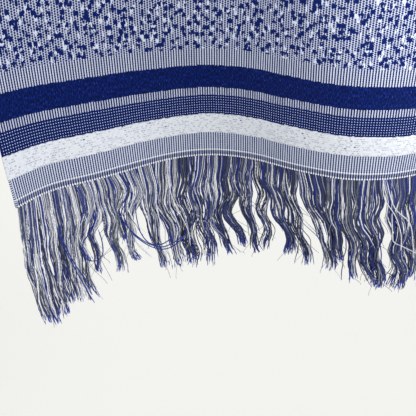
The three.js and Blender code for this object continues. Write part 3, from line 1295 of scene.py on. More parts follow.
@dataclass(frozen=True)
class YarnFinish:
    """Loose yarn of two plies that wind round each other, each in a dye of its own.

    Attributes:
        pitch: The length in which the plies wind round once.
        groove: How much painted shade darkens the groove between the plies.
        fibre: The scale of the fibres.
        relief: The height of the fibres and of the groove.
    """

    pitch: float = 3.1 * MM
    groove: float = 0.3
    fibre: float = 1300.0
    relief: float = 0.12 * MM
    surface: Surface = Surface(0.8, 0.25, 0.12, 0.45)

    def material(self) -> Material:
        """Makes the material.

        Returns:
            The material.
        """
        shader = Shader("yarn")
        own, other = (shader.attribute(name).outputs["Color"] for name in PLY_DYES)
        x, y, _ = shader.parts(shader.attribute("around").outputs["Vector"])
        run = Number(shader, shader.attribute("run").outputs["Fac"])
        from_turn = abs((y.bearing(x) / TURN + run / self.pitch).fraction() - 0.5)
        seam = abs(from_turn - 0.25).ramp(0.1, 0.0)
        fibres = shader.clouds(shader.add("ShaderNodeTexCoord").outputs["Object"], self.fibre)
        # Painted shade along the groove between the plies, on top of each fibre's own tone.
        shade = (0.8 + 0.5 * fibres) * (1 - seam * self.groove)
        plies = shader.blend(from_turn.ramp(0.2, 0.3), own, other)
        colour = shader.mix("MULTIPLY", 1.0, plies, shader.vector(shade, shade, shade))
        return shader.finish(colour, fibres - seam, self.relief, self.surface)


@dataclass(frozen=True)
class PlainFinish:
    """A finish that is the same all over."""

    name: str
    colour: Colour
    surface: Surface

    def material(self) -> Material:
        """Makes the material."""
        return Shader(self.name).finish(self.colour, None, 0.0, self.surface)


THREAD = PlainFinish("thread", dye(238, 240, 247), Surface(0.8, 0.25))
PAPER = PlainFinish("floor", dye(251, 251, 248), Surface(0.95, 0.1))


def make_piece(
    name: str, points: np.ndarray, faces: Sequence[Sequence[int]], edges: Sequence[Sequence[int]] = ()
) -> Piece:
    """Makes a mesh object at the origin.

    Args:
        name: The piece's name.
        points: Its vertices in millimetres.
        faces: The vertices of each face.
        edges: The two vertices of each edge that has no face.

    Returns:
        The object, linked to the scene.
    """
    mesh = bpy.data.meshes.new(name)
    mesh.from_pydata((points * MM).tolist(), edges, faces)
    mesh.validate()
    mesh.shade_smooth()
    piece = bpy.data.objects.new(name, mesh)
    bpy.context.scene.collection.objects.link(piece)
    return piece


def store(mesh: bpy.types.Mesh, name: str, kind: str, values: np.ndarray) -> None:
    """Writes a point attribute.

    Args:
        mesh: The mesh.
        name: The attribute's name.
        kind: Its data type, such as FLOAT or FLOAT_VECTOR.
        values: A value for each vertex.
    """
    made = mesh.attributes.new(name, kind, "POINT")
    slot = {"FLOAT": "value", "FLOAT_VECTOR": "vector", "FLOAT_COLOR": "color"}[kind]
    made.data.foreach_set(slot, np.asarray(values, np.float32).ravel())


def whole_numbers(rows: bpy.types.bpy_prop_collection, name: str) -> np.ndarray:
    """Reads one whole number from each row of a mesh's own list.

    Args:
        rows: The list, such as the mesh's polygons.
        name: The number's name.

    Returns:
        The numbers.
    """
    values = np.empty(len(rows), np.int32)
    rows.foreach_get(name, values)
    return values


def store_layout(mesh: bpy.types.Mesh, places: np.ndarray) -> None:
    """Gives a mesh its layout for baking, with a place from 0 to 1 for each corner of its faces."""
    layer = mesh.uv_layers.new(name=BAKE_MAP)
    layer.data.foreach_set("uv", np.ascontiguousarray(places, np.float32).ravel())


def lay_out_tubes(mesh: bpy.types.Mesh, rings: int, sides: int, columns: int = 110) -> None:
    """Lays tubes out side by side for baking, each slit along its length in a cell of its own.

    Args:
        mesh: Tubes that all have the same number of rings and sides, one after another.
        rings: The rings of each.
        sides: The sides of each.
        columns: How many cells lie side by side.
    """
    vertex = whole_numbers(mesh.loops, "vertex_index")
    starts = whole_numbers(mesh.polygons, "loop_start")
    face = np.repeat(np.arange(len(starts)), whole_numbers(mesh.polygons, "loop_total"))
    tube, spot = vertex // (rings * sides), vertex % (rings * sides)
    ring, side = spot // sides, (spot % sides).astype(float)
    highest, lowest = np.maximum.reduceat(side, starts)[face], np.minimum.reduceat(side, starts)[face]
    wall = (np.maximum.reduceat(ring, starts) > np.minimum.reduceat(ring, starts))[face]
    side[wall & (highest - lowest > 1) & (side == 0)] = sides
    lines = math.ceil((tube.max() + 1) / columns)
    u = (tube % columns + 0.1 + 0.8 * side / sides) / columns
    v = (tube // columns + 0.05 + 0.9 * ring / (rings - 1)) / lines
    store_layout(mesh, np.stack([u, v], axis=1))


@dataclass
class KnittedCloth:
    """The knitted panel: closed shells with round selvedges and slightly raised bands.

    Its rows of points lie loop_step apart at most, and end_step over the lowest banded millimetres of each
    end. relief is how far the highest band stands out, and relief_edge half the width of its edge.
    """

    form: ScarfForm
    columns: int = 176
    loop_step: float = 6.5
    end_step: float = 3.2
    banded: float = 96.0
    rim_steps: int = 3
    relief: float = 0.3
    relief_edge: float = 0.8
    bands: Bands = Bands()

    def __post_init__(self) -> None:
        """Works out the layers of the whole cloth, so that its stretches meet exactly."""
        self.along = self.row_places()
        self.across = np.linspace(0, self.form.width, self.columns)
        self.middle, self.out, self.sideways = self.layer(self.along, self.across)

    def layer(self, along: np.ndarray, across: np.ndarray) -> tuple[np.ndarray, ...]:
        """Finds the uneven middle layer of the cloth.

        Args:
            along: Places along the cloth.
            across: Places across it.

        Returns:
            The layer's points, its normals and its directions across.
        """
        middle = self.form.points(along, across)
        middle = middle + self.normals(middle)[0] * self.unevenness(along, across)[..., None]
        return (middle, *self.normals(middle))

    def stretches(self) -> tuple[Stretch, ...]:
        """Divides the cloth.

        Returns:
            The stretches, one for each of its nodes in the frame.
        """
        left, right = self.form.hem(End.LEFT), self.form.hem(End.RIGHT)
        loop = Stretch("neck_loop", -LOOP_REACH, LOOP_REACH)
        return (Stretch("end_left", left, loop.start), loop, Stretch("end_right", loop.end, right))

    def row_places(self) -> np.ndarray:
        """Finds where the rows of points lie.

        Returns:
            Places along the cloth, close together over the bands of both ends.
        """
        marks = {0.0, self.banded}
        for edge in self.bands.edges():
            marks |= {edge - self.relief_edge, edge + self.relief_edge}
        marks = sorted(marks)
        low = np.concatenate([self.steps(a, b, self.end_step) for a, b in zip(marks, marks[1:])])
        left, right = self.form.hem(End.LEFT), self.form.hem(End.RIGHT)
        seams = (left + self.banded, -LOOP_REACH, LOOP_REACH, right - self.banded)
        plain = [self.steps(a, b, self.loop_step) for a, b in zip(seams, seams[1:])]
        return np.concatenate([left + low, *plain, [seams[-1]], (right - low)[::-1]])

    def steps(self, start: float, end: float, longest: float) -> np.ndarray:
        """Even places from a start up to but not including an end."""
        return np.linspace(start, end, math.ceil((end - start) / longest) + 1)[:-1]

    def raised(self, run: np.ndarray) -> np.ndarray:
        """Finds how far each face stands out from its plain level.

        Args:
            run: Distances along the cloth from its left hem.

        Returns:
            A height for each.
        """
        above, bands = np.minimum(run, self.form.length - run), self.bands
        heights = np.zeros_like(above)
        raised = ((0, bands.hem, 0.7), (bands.ribs, bands.white, 1), (bands.lower_strip, bands.solid, 0.8))
        for low, high, height in raised:
            rise = np.clip((above - low) / self.relief_edge / 2 + 0.5, 0, 1)
            fall = np.clip((high - above) / self.relief_edge / 2 + 0.5, 0, 1)
            heights += height * self.relief * rise * fall
        return heights

    def unevenness(self, along: np.ndarray, across: np.ndarray) -> np.ndarray:
        """Finds the soft creases and swells of the hanging cloth.

        Args:
            along: Places along the cloth.
            across: Places across it.

        Returns:
            How far each place lies outward from the even form.
        """
        u, v = across[None], along[:, None]
        rise = np.zeros((len(along), len(across)))
        for swell in SWELLS:
            wave = np.sin(TURN * (u / swell.across + v / swell.along + swell.start))
            fading = np.sin(TURN * (v / swell.fading_along + u / swell.fading_across + swell.fading_start))
            rise = rise + swell.height * wave * fading
        for crease in CREASES:
            beside = (u - crease.across - crease.slant * (v - crease.along)) / crease.width
            beyond = (v - crease.along) / (crease.length / 2)
            rise = rise + crease.depth * np.exp(-(beside**2)) * stepped(1 - np.abs(beyond))
        return rise

    def normals(self, middle: np.ndarray) -> tuple[np.ndarray, np.ndarray]:
        """Finds a layer's own directions.

        Args:
            middle: The layer's points, in rows and columns.

        Returns:
            The normals and the directions across.
        """
        down = np.gradient(middle, axis=0)
        sideways = unit(np.gradient(middle, axis=1))
        return unit(np.cross(sideways, down)), sideways

    def build(self, stretch: Stretch) -> Piece:
        """Builds one stretch's shell, with the cloth's own measure as an attribute.

        Args:
            stretch: The stretch to build.

        Returns:
            The piece.
        """
        rows = (self.along > stretch.start - 0.01) & (self.along < stretch.end + 0.01)
        middle, normals, sideways = self.middle[rows], self.out[rows], self.sideways[rows]
        run = self.along[rows] - self.form.hem(End.LEFT)
        half = (self.form.wall / 2 + self.raised(run))[:, None, None]
        turn = (np.pi * np.arange(1, self.rim_steps + 1) / (self.rim_steps + 1))[None, :, None]
        rims = []
        for column, way in ((-1, 1), (0, -1)):
            beside = way * sideways[:, column, None]
            around = np.cos(turn) * normals[:, column, None] + np.sin(turn) * beside
            rims.append(middle[:, column, None] + around * half)
        outer, inner = middle + normals * half, middle - normals * half
        rings = np.concatenate([outer, rims[0], inner[:, ::-1], rims[1][:, ::-1]], axis=1)

        count, size = rings.shape[:2]
        faces = self.faces(count, size)
        piece = make_piece(f"knitted_{stretch.node}", rings.reshape(-1, 3), faces)
        flat = np.ones(len(faces), bool)
        flat[: (count - 1) * size] = False
        piece.data.attributes.new("sharp_face", "BOOLEAN", "FACE").data.foreach_set("value", flat)
        rim = np.full(self.rim_steps, self.form.width)
        measure = np.zeros((count, size, 3))
        measure[..., 0] = np.concatenate([self.across, rim, self.across[::-1], rim * 0])
        measure[..., 1] = run[:, None]
        measure[..., 2] = np.repeat([1.0, -1.0], self.columns + self.rim_steps)
        store(piece.data, "knit_at", "FLOAT_VECTOR", measure)
        self.lay_out(piece.data, rings, run)
        return piece

    def lay_out(self, mesh: bpy.types.Mesh, rings: np.ndarray, run: np.ndarray) -> None:
        """Lays the shell out flat for baking, slit along one selvedge.

        Args:
            mesh: The shell's mesh.
            rings: Its rings of points.
            run: The distance of each ring along the cloth.
        """
        size = rings.shape[1]
        closed = np.concatenate([rings, rings[:, :1]], axis=1)
        steps = np.linalg.norm(np.diff(closed, axis=1), axis=2).mean(0)
        u = np.concatenate([[0], np.cumsum(steps)]) / steps.sum()
        v = (run - run[0]) / (run[-1] - run[0])
        spots, rows = np.meshgrid(np.arange(size), np.arange(len(run) - 1))
        corners = [(spots, rows), (spots + 1, rows), (spots + 1, rows + 1), (spots, rows + 1)]
        sides = np.stack([np.stack([u[s], v[r]], axis=-1) for s, r in corners], axis=2).reshape(-1, 2)
        rest = whole_numbers(mesh.loops, "vertex_index")[len(sides) :]
        caps = np.stack([u[rest % size], v[rest // size]], axis=1)
        store_layout(mesh, np.concatenate([sides, caps]))

    def faces(self, rows: int, size: int) -> list[tuple[int, ...]]:
        """Finds the faces of a shell, all looking outwards.

        Args:
            rows: How many rings of points it has.
            size: How many points each ring has.

        Returns:
            The faces between the rings, and a cap on each end.
        """
        faces = []
        for start in range(0, (rows - 1) * size, size):
            for spot in range(size):
                beside = (spot + 1) % size
                faces.append((start + spot, start + beside, start + size + beside, start + size + spot))
        return faces + self.cap(0, size, True) + self.cap((rows - 1) * size, size, False)

    def cap(self, start: int, size: int, turned: bool) -> list[tuple[int, ...]]:
        """Closes one end of a shell between its outer and inner face.

        Args:
            start: The number of the end's first point.
            size: How many points the end's ring has.
            turned: Whether the faces look back along the cloth.

        Returns:
            The faces.
        """
        columns, last = self.columns, 2 * self.columns + self.rim_steps - 1
        faces = [(spot, spot + 1, last - spot - 1, last - spot) for spot in range(columns - 1)]
        faces += [tuple(range(columns - 1, columns + self.rim_steps + 1)), (*range(last, size), 0)]
        faces = [tuple(start + spot for spot in face) for face in faces]
        return [face[::-1] for face in faces] if turned else faces

    def on_face(self, run: float, across: np.ndarray, face: Face) -> tuple[np.ndarray, ...]:
        """Finds places on a face of the cloth.

        Args:
            run: The distance along the cloth from its left hem.
            across: The places across it.
            face: The face that they lie on.

        Returns:
            The points, the directions out of the face and the directions across.
        """
        along = run + self.form.hem(End.LEFT) + np.array([-1.0, 0.0, 1.0])
        middle, normals, sideways = self.layer(along, across)
        half = self.form.wall / 2 + self.raised(np.array([run]))[0]
        out = normals[1] * face.value
        return middle[1] + out * half, out, sideways[1]


class Seam(NamedTuple):
    """A line of hem stitches: its height above the edge, and a stitch's sizes."""

    above: float
    wide: float
    tall: float
    thick: float


@dataclass
class HemStitches:
    """The two lines of white stitches along both faces of a hem, one stitch to each rib."""

    cloth: KnittedCloth
    end: End
    lower: Seam = Seam(0.5, 1.2, 1.7, 1.0)
    upper: Seam = Seam(5.1, 1.45, 1.05, 0.9)

    def build(self, finish: Material) -> Piece:
        """Builds the stitches of one end as one piece.

        Args:
            finish: The thread's material.

        Returns:
            The piece.
        """
        form = self.cloth.form
        across = np.arange(RIB / 2, form.width, RIB)
        lines = []
        for seam in (self.lower, self.upper):
            run = seam.above if self.end is End.LEFT else form.length - seam.above
            size = np.tile([seam.wide, seam.tall, seam.thick], (len(across), 1)) * MM / 2
            lines += [(*self.cloth.on_face(run, across, face), size) for face in Face]
        points, *rest = (np.concatenate(rows) for rows in zip(*lines))
        piece = make_piece(f"hem_stitches_{self.end.value}", points, [])
        for name, values in zip(("out", "side", "size"), rest):
            store(piece.data, name, "FLOAT_VECTOR", values)

        recipe = Recipe("hem stitches")
        sockets = {"Radius": 1.0, "Subdivisions": recipe.given("Detail", "Int", 2)}
        ball = recipe.add("GeometryNodeMeshIcoSphere", {}, sockets).outputs["Mesh"]
        axes = {"Primary Axis": recipe.named("side"), "Secondary Axis": recipe.named("out")}
        turn = recipe.add("FunctionNodeAxesToRotation", {"primary_axis": "X", "secondary_axis": "Z"}, axes)
        stitch, size = recipe.smooth(ball), recipe.named("size")
        recipe.apply(piece, recipe.place(recipe.geometry(), stitch, turn.outputs[0], size), finish)
        return piece


@dataclass
class Strands:
    """Paths of many yarns: points in millimetres, radii, and the dyes of each one's two plies and tip."""

    points: np.ndarray
    radii: np.ndarray
    dyes: np.ndarray
    plies: np.ndarray
    tips: np.ndarray

    def guide(self, name: str) -> Piece:
        """Makes a mesh of edges that follows the paths, with the radii and dyes as attributes.

        Args:
            name: The piece's name.

        Returns:
            The piece.
        """
        count, steps, _ = self.points.shape
        first = (np.arange(count)[:, None] * steps + np.arange(steps - 1)[None]).ravel()
        edges = np.stack([first, first + 1], axis=1).tolist()
        piece = make_piece(name, self.points.reshape(-1, 3), [], edges)
        store(piece.data, "thick", "FLOAT", self.radii * MM)
        for layer, own in zip(PLY_DYES, (self.dyes, self.plies)):
            dyes = np.repeat(own[:, None], steps, axis=1)
            dyes[:, -1] = self.tips
            store(piece.data, layer, "FLOAT_COLOR", dyes)
        return piece


@dataclass
class YarnFringe:
    """The fringe of one end: yarns that gather into wavy tufts, with frayed tips and stray ones.

    A pair of numbers is the range of a chance value, and a table of pairs gives a value for places across
    the hem.

    Attributes:
        form: The scarf's form.
        end: The end that it hangs from.
        drops: How far it falls, where no tuft is listed.
        tufts: The listed tufts, from the outer edge on.
        strays: The stray yarns.
        bundle: How many yarns keep together.
        gather: How late the yarns of a tuft gather.
        root_rows: How far the roots lie in front of and behind the cloth's middle.
        short_ones: The share of short yarns, whose length is another share.
        swap: How far yarns change sides, as a share of their tuft's width.
        wave: The height of a tuft's waves, and bundle_wave how much of it a bundle has.
        calm: How much of it there is across the hem.
        surge: How much the waves' phase goes back and forth across the hem.
        crimp: The height of a yarn's own small waves, with crimp_turns of them to a wave.
        sway: How far the tufts sway to the side half-way down.
        wanderers: The share of yarns that leave their tuft.
        lift: How far tufts go to the front and back.
        turnover: How much the dye's chance number grows from each yarn to the next.
        plain_ones: The share of yarns with two plies of one dye.
        pale: The share of pale yarns across the hem, lower in the middle partly as painted shade under the
            fold.
        hair_clear: How much of the hem at its outer edge has no loose fibres.
    """

    form: ScarfForm
    end: End
    drops: tuple[Drop, ...]
    tufts: tuple[Tuft, ...] = ()
    strays: tuple[Stray, ...] = ()
    seed: int = 11
    yarns: int = 1000
    least_yarns: int = 3
    bundle: float = 6.0
    bundle_half: float = 0.7
    steps: int = 24
    sides: int = 4
    fine_sides: int = 3
    gather: float = 1.3
    root_rows: float = 0.7
    root_above: float = 1.2
    radius: tuple[float, float] = (0.26, 0.5)
    uneven_length: float = 0.055
    short_ones: float = 0.1
    short_length: tuple[float, float] = (0.5, 0.9)
    swap: float = 0.2
    wave: tuple[float, float] = (0.9, 2.6)
    bundle_wave: tuple[float, float] = (0.65, 1.25)
    calm: tuple[tuple[float, float], ...] = ((0, 0.35), (35, 0.55), (75, 1), (350, 1))
    wave_length: float = 36.0
    surge: float = 2.3
    surge_length: float = 150.0
    phase_spread: float = 0.26
    crimp: float = 0.28
    crimp_turns: float = 2.7
    sway: tuple[tuple[float, float], ...] = ((0, 0), (14, 1), (30, 5), (85, 4.5), (125, 1), (350, 1))
    wanderers: float = 0.11
    wander: float = 6.0
    lift: float = 2.2
    turnover: float = 0.618
    disorder: float = 0.3
    plain_ones: float = 0.99
    shade: tuple[float, float] = (0.78, 1.18)
    # Fewer pale yarns in the middle of the hem: partly the yarns' own mix, and partly painted shade where
    # the fold's shade falls on the fringe.
    pale: tuple[tuple[float, float], ...] = (
        (40, 0.44),
        (95, 0.35),
        (140, 0.14),
        (230, 0.13),
        (270, 0.15),
        (350, 0.2),
    )
    blue_tips: float = 0.75
    hair_count: int = 260
    hair_steps: int = 12
    hair_reach: tuple[float, float] = (7.0, 22.0)
    hair_radius: float = 0.17
    hair_clear: float = 30.0

    def __post_init__(self) -> None:
        """Fills the hem with tufts where none are listed."""
        self.rng = np.random.default_rng(self.seed)
        self.along = np.array([self.form.hem(self.end)])
        frames = self.form.frames(self.along)
        self.right = frames.inward[0] * (1 if self.end is End.LEFT else -1)
        self.front = frames.outward[0]
        tufts = list(self.tufts)
        start = tufts[-1].end - 2 if tufts else 0.0
        while start < self.form.width - 6:
            end = min(start + self.rng.uniform(10, 18), self.form.width)
            tufts.append(self.loose_tuft(start, end))
            start = end - self.rng.uniform(1, 3)
        self.tufts = tuple(tufts)

    def loose_tuft(self, start: float, end: float) -> Tuft:
        """Makes a tuft of chance form under the end's own drop and lean.

        Args:
            start: Where on the hem it starts.
            end: Where it ends.

        Returns:
            The tuft.
        """
        middle = np.array([(start + end) / 2])
        fall = eased(self.drops, middle)[0]
        lean = eased([(d.across, d.lean) for d in self.drops], middle)[0]
        fall *= self.rng.uniform(0.82, 1.0)
        tip = fall * math.tan(math.radians(lean * self.rng.uniform(0.4, 1.2)))
        near, far = tip * 0.1 + self.rng.uniform(-4, 3), tip * 0.5 + self.rng.uniform(-4, 4)
        return Tuft(start, end, near, far, tip, fall, self.rng.uniform(6, 12))

    def hem_points(self, across: np.ndarray) -> np.ndarray:
        """Points on the middle of the hem's edge."""
        return self.form.points(self.along, across)[0]

    def tuft_paths(self, tuft: Tuft, count: int) -> tuple[np.ndarray, np.ndarray]:
        """Finds the paths of one tuft's yarns.

        Args:
            tuft: The tuft.
            count: How many yarns it has.

        Returns:
            The points of each path, and the place across the hem of each root.
        """
        rng = self.rng
        even = (np.arange(count) + rng.uniform(0, 1, count)) / count
        root = np.clip(tuft.start + even * (tuft.end - tuft.start), 0.5, self.form.width - 0.5)
        bundles = max(2, round(count / self.bundle))
        member = np.minimum((even * bundles).astype(int), bundles - 1)
        own = 1 - np.abs(rng.normal(0, self.uneven_length, count))
        own = np.where(rng.random(count) < self.short_ones, rng.uniform(*self.short_length, count), own)
        share = np.linspace(0, 1, self.steps)[None] * own[:, None]
        pull = stepped(share) ** self.gather

        seat = (np.arange(bundles) * 2 + 1) / bundles - 1
        spot = (0.5 * seat + 0.5 * rng.uniform(-1, 1, bundles))[member]
        loose = stepped(share * 1.6 - 0.4)
        placed = seat[member][:, None] * (1 - loose) + spot[:, None] * loose
        body = tuft.width * 0.6 * placed * (1.3 - 0.7 * stepped(share * 1.3 - 0.3))
        body = body + rng.uniform(-1, 1, count)[:, None] * self.bundle_half
        swap = rng.normal(0, self.swap, count)[:, None] * tuft.width * share**2
        way = np.array([(shift, 0, 0) for shift in (0, tuft.near, tuft.far, tuft.tip)], float)
        axis = SmoothLine(way, LineKind.EVEN).at(share.ravel())[:, 0].reshape(share.shape)
        wave, crimp, bow = self.waves(tuft, root, member, bundles, share)
        away = np.where(rng.random(count) < self.wanderers, rng.normal(0, self.wander, count), 0)
        away = away[:, None] * share**1.6
        middle = (tuft.start + tuft.end) / 2
        sway = eased(self.sway, np.array([middle]))[0] * np.sin(np.pi * np.clip(share * 1.7, 0, 1))
        sideways = body * pull + swap + axis + wave + crimp + away + sway

        depth = tuft.width * 0.42 * np.sqrt(np.clip(1 - spot**2, 0, 1))
        depth = depth * rng.uniform(-1, 1, bundles)[member] + rng.uniform(-1, 1, count) * self.bundle_half
        lift = rng.normal(0, self.lift) * stepped(share * 1.3) + bow
        rows = self.root_rows * rng.uniform(-1, 1, count)[:, None]
        forward = depth[:, None] * pull + lift + rows * (1 - pull)

        roots, centre = self.hem_points(root), self.hem_points(np.array([middle]))[0]
        points = centre + (roots - centre)[:, None] * (1 - pull)[..., None]
        points = points + sideways[..., None] * self.right + forward[..., None] * self.front
        points[..., 2] += self.root_above - (tuft.fall + self.root_above) * share
        return points, root

    def waves(
        self, tuft: Tuft, root: np.ndarray, member: np.ndarray, bundles: int, share: np.ndarray
    ) -> tuple[np.ndarray, ...]:
        """Finds how the yarns of a tuft wave.

        Args:
            tuft: The tuft.
            root: The place across the hem of each root.
            member: The bundle of each yarn.
            bundles: How many bundles there are.
            share: The share of the fall at each point.

        Returns:
            The wave and the crimp to the side, and the wave to the front.
        """
        rng = self.rng
        length = self.wave_length * rng.uniform(0.96, 1.04)
        phase = self.surge * np.sin(TURN * root / self.surge_length)
        phase = (phase + rng.normal(0, self.phase_spread, bundles)[member])[:, None]
        height = rng.uniform(*self.wave) * rng.uniform(*self.bundle_wave, bundles)[member]
        height = height * eased(self.calm, root) + rng.normal(0, 0.12, len(root))
        turn, ramp = TURN * share * tuft.fall / length, stepped(share * 3)
        wave = height[:, None] * np.sin(turn + phase) * ramp
        own_phase = rng.uniform(0, TURN, len(root))[:, None]
        crimp = self.crimp * np.sin(turn * self.crimp_turns + own_phase) * ramp
        return wave, crimp, 0.8 * np.sin(turn * 0.8 + phase * 1.7) * ramp

    def stray_path(self, stray: Stray) -> np.ndarray:
        """Finds the path of a yarn that goes its own way.

        Args:
            stray: The yarn.

        Returns:
            The points of its path.
        """
        knots = np.stack([stray.shifts, stray.falls, np.zeros(len(stray.falls))], axis=1)
        share = np.linspace(0, 1, self.steps)
        shift, fall, _ = SmoothLine(knots.astype(float), LineKind.EVEN).at(share).T
        root = self.hem_points(np.array([stray.across]))[0]
        ahead = stray.front * stepped(share * 3)
        way = root + shift[:, None] * self.right + ahead[:, None] * self.front
        way[:, 2] += self.root_above * (1 - share) - fall
        return way

    def dyes(self, across: np.ndarray) -> tuple[np.ndarray, np.ndarray]:
        """Finds the dyes of each yarn's two plies, which change from one yarn to the next.

        Args:
            across: The places of the yarns' roots across the hem.

        Returns:
            The dye of the first ply and of the second, for each yarn.
        """
        rng, count = self.rng, len(across)
        chance = np.empty(count)
        chance[np.argsort(across)] = np.arange(count) * self.turnover
        chance = (chance + rng.uniform(0, self.disorder, count)) % 1
        other = np.where(rng.random(count) < self.plain_ones, chance, rng.random(count))
        # The pale share is lower in the middle of the hem, partly as painted shade.
        pale = eased(self.pale, across)
        rows = [share * (pale if yarn in PALE_YARNS else 1 - pale) for yarn, share in YARN_SHARES.items()]
        limits = np.cumsum(rows, axis=0)
        table = np.array([yarn.colour() for yarn in YARN_SHARES])
        plies = []
        for value in (chance, other):
            ply = table[np.minimum((value[None] > limits).sum(0), len(table) - 1)]
            ply[:, :3] = np.clip(ply[:, :3] * rng.uniform(*self.shade, count)[:, None], 0, 1)
            plies.append(ply)
        return plies[0], plies[1]

    def strands(self) -> Strands:
        """Finds the paths of all the yarns of this end.

        Returns:
            The yarns.
        """
        widths = np.array([t.end - t.start for t in self.tufts])
        counts = np.round(self.yarns * widths / widths.sum()).astype(int)
        counts = np.maximum(self.least_yarns, counts)
        ways, roots = zip(*(self.tuft_paths(t, n) for t, n in zip(self.tufts, counts)))
        points = np.concatenate(ways)
        dyes, plies = self.dyes(np.concatenate(roots))
        radii = self.rng.uniform(*self.radius, len(points))
        if self.strays:
            points = np.concatenate([points, [self.stray_path(s) for s in self.strays]])
            own = np.array([s.yarn.colour() for s in self.strays])
            dyes, plies = np.concatenate([dyes, own]), np.concatenate([plies, own])
            radii = np.concatenate([radii, [0.46 if s.yarn is Yarn.BLUE else 0.36 for s in self.strays]])
        radii = np.repeat(radii[:, None], self.steps, axis=1)
        radii[:, -1] *= 0.7
        bluish = (dyes[:, 2] > dyes[:, 0] * 2.5)[:, None]
        return Strands(points, radii, dyes, plies, np.where(bluish, Yarn.VIVID.colour(), dyes))

    def hairs(self, strands: Strands) -> Strands:
        """Finds the paths of fine loose fibres that leave the yarns.

        Args:
            strands: The yarns that they leave.

        Returns:
            The fibres.
        """
        rng, count = self.rng, self.hair_count
        reached = (self.hem_points(np.array([0.0, self.form.width])) @ self.right).min()
        clear = strands.points[:, 0] @ self.right > reached + self.hair_clear
        which = rng.choice(np.flatnonzero(clear), count)
        step = rng.integers(int(self.steps * 0.35), self.steps - 1, count)
        start = strands.points[which, step]
        heading = unit(strands.points[which, step + 1] - start)
        swing = rng.normal(0, 1, (count, 1)) * self.right + rng.normal(0, 0.5, (count, 1)) * self.front
        curl = rng.normal(0, 1, (count, 1)) * self.right + rng.normal(0, 0.5, (count, 1)) * self.front
        share = np.linspace(0, 1, self.hair_steps)[None, :, None]
        reach = rng.uniform(*self.hair_reach, count)[:, None, None]
        bend = swing[:, None] * 0.3 * share + curl[:, None] * (0.75 * share**2 - 0.4 * share**4)
        way = start[:, None] + reach * (heading[:, None] * share + bend)
        dull = strands.dyes[which] * np.array([0.8, 0.8, 0.8, 1])
        return Strands(way, np.full((count, self.hair_steps), self.hair_radius), dull, dull, dull)

    def spin(self, strands: Strands, name: str, sides: int, finish: Material) -> Piece:
        """Turns paths into round yarns with a fixed unevenness.

        Args:
            strands: The paths.
            name: The piece's name.
            sides: The sides of each yarn.
            finish: The material.

        Returns:
            The piece.
        """
        piece = strands.guide(name)
        recipe = Recipe(name)
        around = recipe.given("Sides", "Int", sides)
        thickness, slub = recipe.amount("Thickness", 1.0), recipe.amount("Slub", 0.45)
        curve = recipe.add("GeometryNodeMeshToCurve", {}, {"Mesh": recipe.geometry()}).outputs[0]
        noise = recipe.number("ShaderNodeTexNoise", "Fac", {}, {"Scale": 420.0, "Detail": 1.0})
        lump = noise * slub + (1 - slub * 0.5)
        radius = Number(recipe, recipe.named("thick", "FLOAT")) * thickness * lump
        length = recipe.add("GeometryNodeSplineParameter").outputs["Length"]
        curve = recipe.keep(curve, "run", "FLOAT", length)
        spot = recipe.add("GeometryNodeInputPosition").outputs[0]
        profile = recipe.keep(recipe.ring(around), "around", "FLOAT_VECTOR", spot)
        recipe.apply(piece, recipe.smooth(recipe.tube(curve, profile, radius)), finish)
        lay_out_tubes(piece.data, strands.points.shape[1], sides)
        return piece

    def fray(self, strands: Strands, name: str, finish: Material) -> Piece:
        """Gives each yarn's cut end a small brush of fibres.

        Args:
            strands: The yarns.
            name: The piece's name.
            finish: The material.

        Returns:
            The piece.
        """
        tips, steps = strands.points[:, -1], 4
        piece = make_piece(name, tips, [])
        store(piece.data, "aim", "FLOAT_VECTOR", unit(tips - strands.points[:, -2]))
        blue = self.rng.random((len(tips), 1)) < self.blue_tips
        for layer in PLY_DYES:
            store(piece.data, layer, "FLOAT_COLOR", np.where(blue, Yarn.VIVID.colour(), strands.dyes))
        recipe = Recipe(name)
        reach, thickness = recipe.amount("Length", 3.0 * MM), recipe.amount("Thickness", 0.32 * MM)
        splay = recipe.amount("Splay", 0.14)
        points = recipe.add("GeometryNodeMeshToPoints", {}, {"Mesh": recipe.geometry()}).outputs[0]
        sockets = {"Geometry": points, "Amount": recipe.given("Fibres", "Int", 3)}
        many = recipe.add("GeometryNodeDuplicateElements", {"domain": "POINT"}, sockets).outputs[0]
        stray = recipe.random((-1.0, -1.0, -1.0), (1.0, 1.0, 1.0), 3, "FLOAT_VECTOR")
        sockets = {"Vector": stray, "Scale": splay}
        spread = recipe.add("ShaderNodeVectorMath", {"operation": "SCALE"}, sockets).outputs[0]
        sockets = {"Vector": recipe.named("aim"), "Vector_001": spread}
        aim = recipe.add("ShaderNodeVectorMath", {"operation": "ADD"}, sockets).outputs[0]
        turn = recipe.add("FunctionNodeAlignRotationToVector", {"axis": "Z"}, {"Vector": aim}).outputs[0]
        line = recipe.add("GeometryNodeCurvePrimitiveLine", {}, {"End": (0.0, 0.0, 1.0)}).outputs[0]
        fine = recipe.add("GeometryNodeResampleCurve", {}, {"Curve": line, "Count": steps}).outputs[0]
        taper = recipe.number("GeometryNodeSplineParameter", "Factor", {}, {})
        fibre = recipe.tube(fine, recipe.ring(self.fine_sides), (1 - taper * 0.7) * thickness / reach)
        size = Number(recipe, recipe.random(0.5, 1.5, 7)) * reach
        scale = recipe.add("ShaderNodeCombineXYZ", {}, {"X": size, "Y": size, "Z": size}).outputs[0]
        recipe.apply(piece, recipe.place(many, fibre, turn, scale), finish)
        lay_out_tubes(piece.data, steps, self.fine_sides)
        return piece

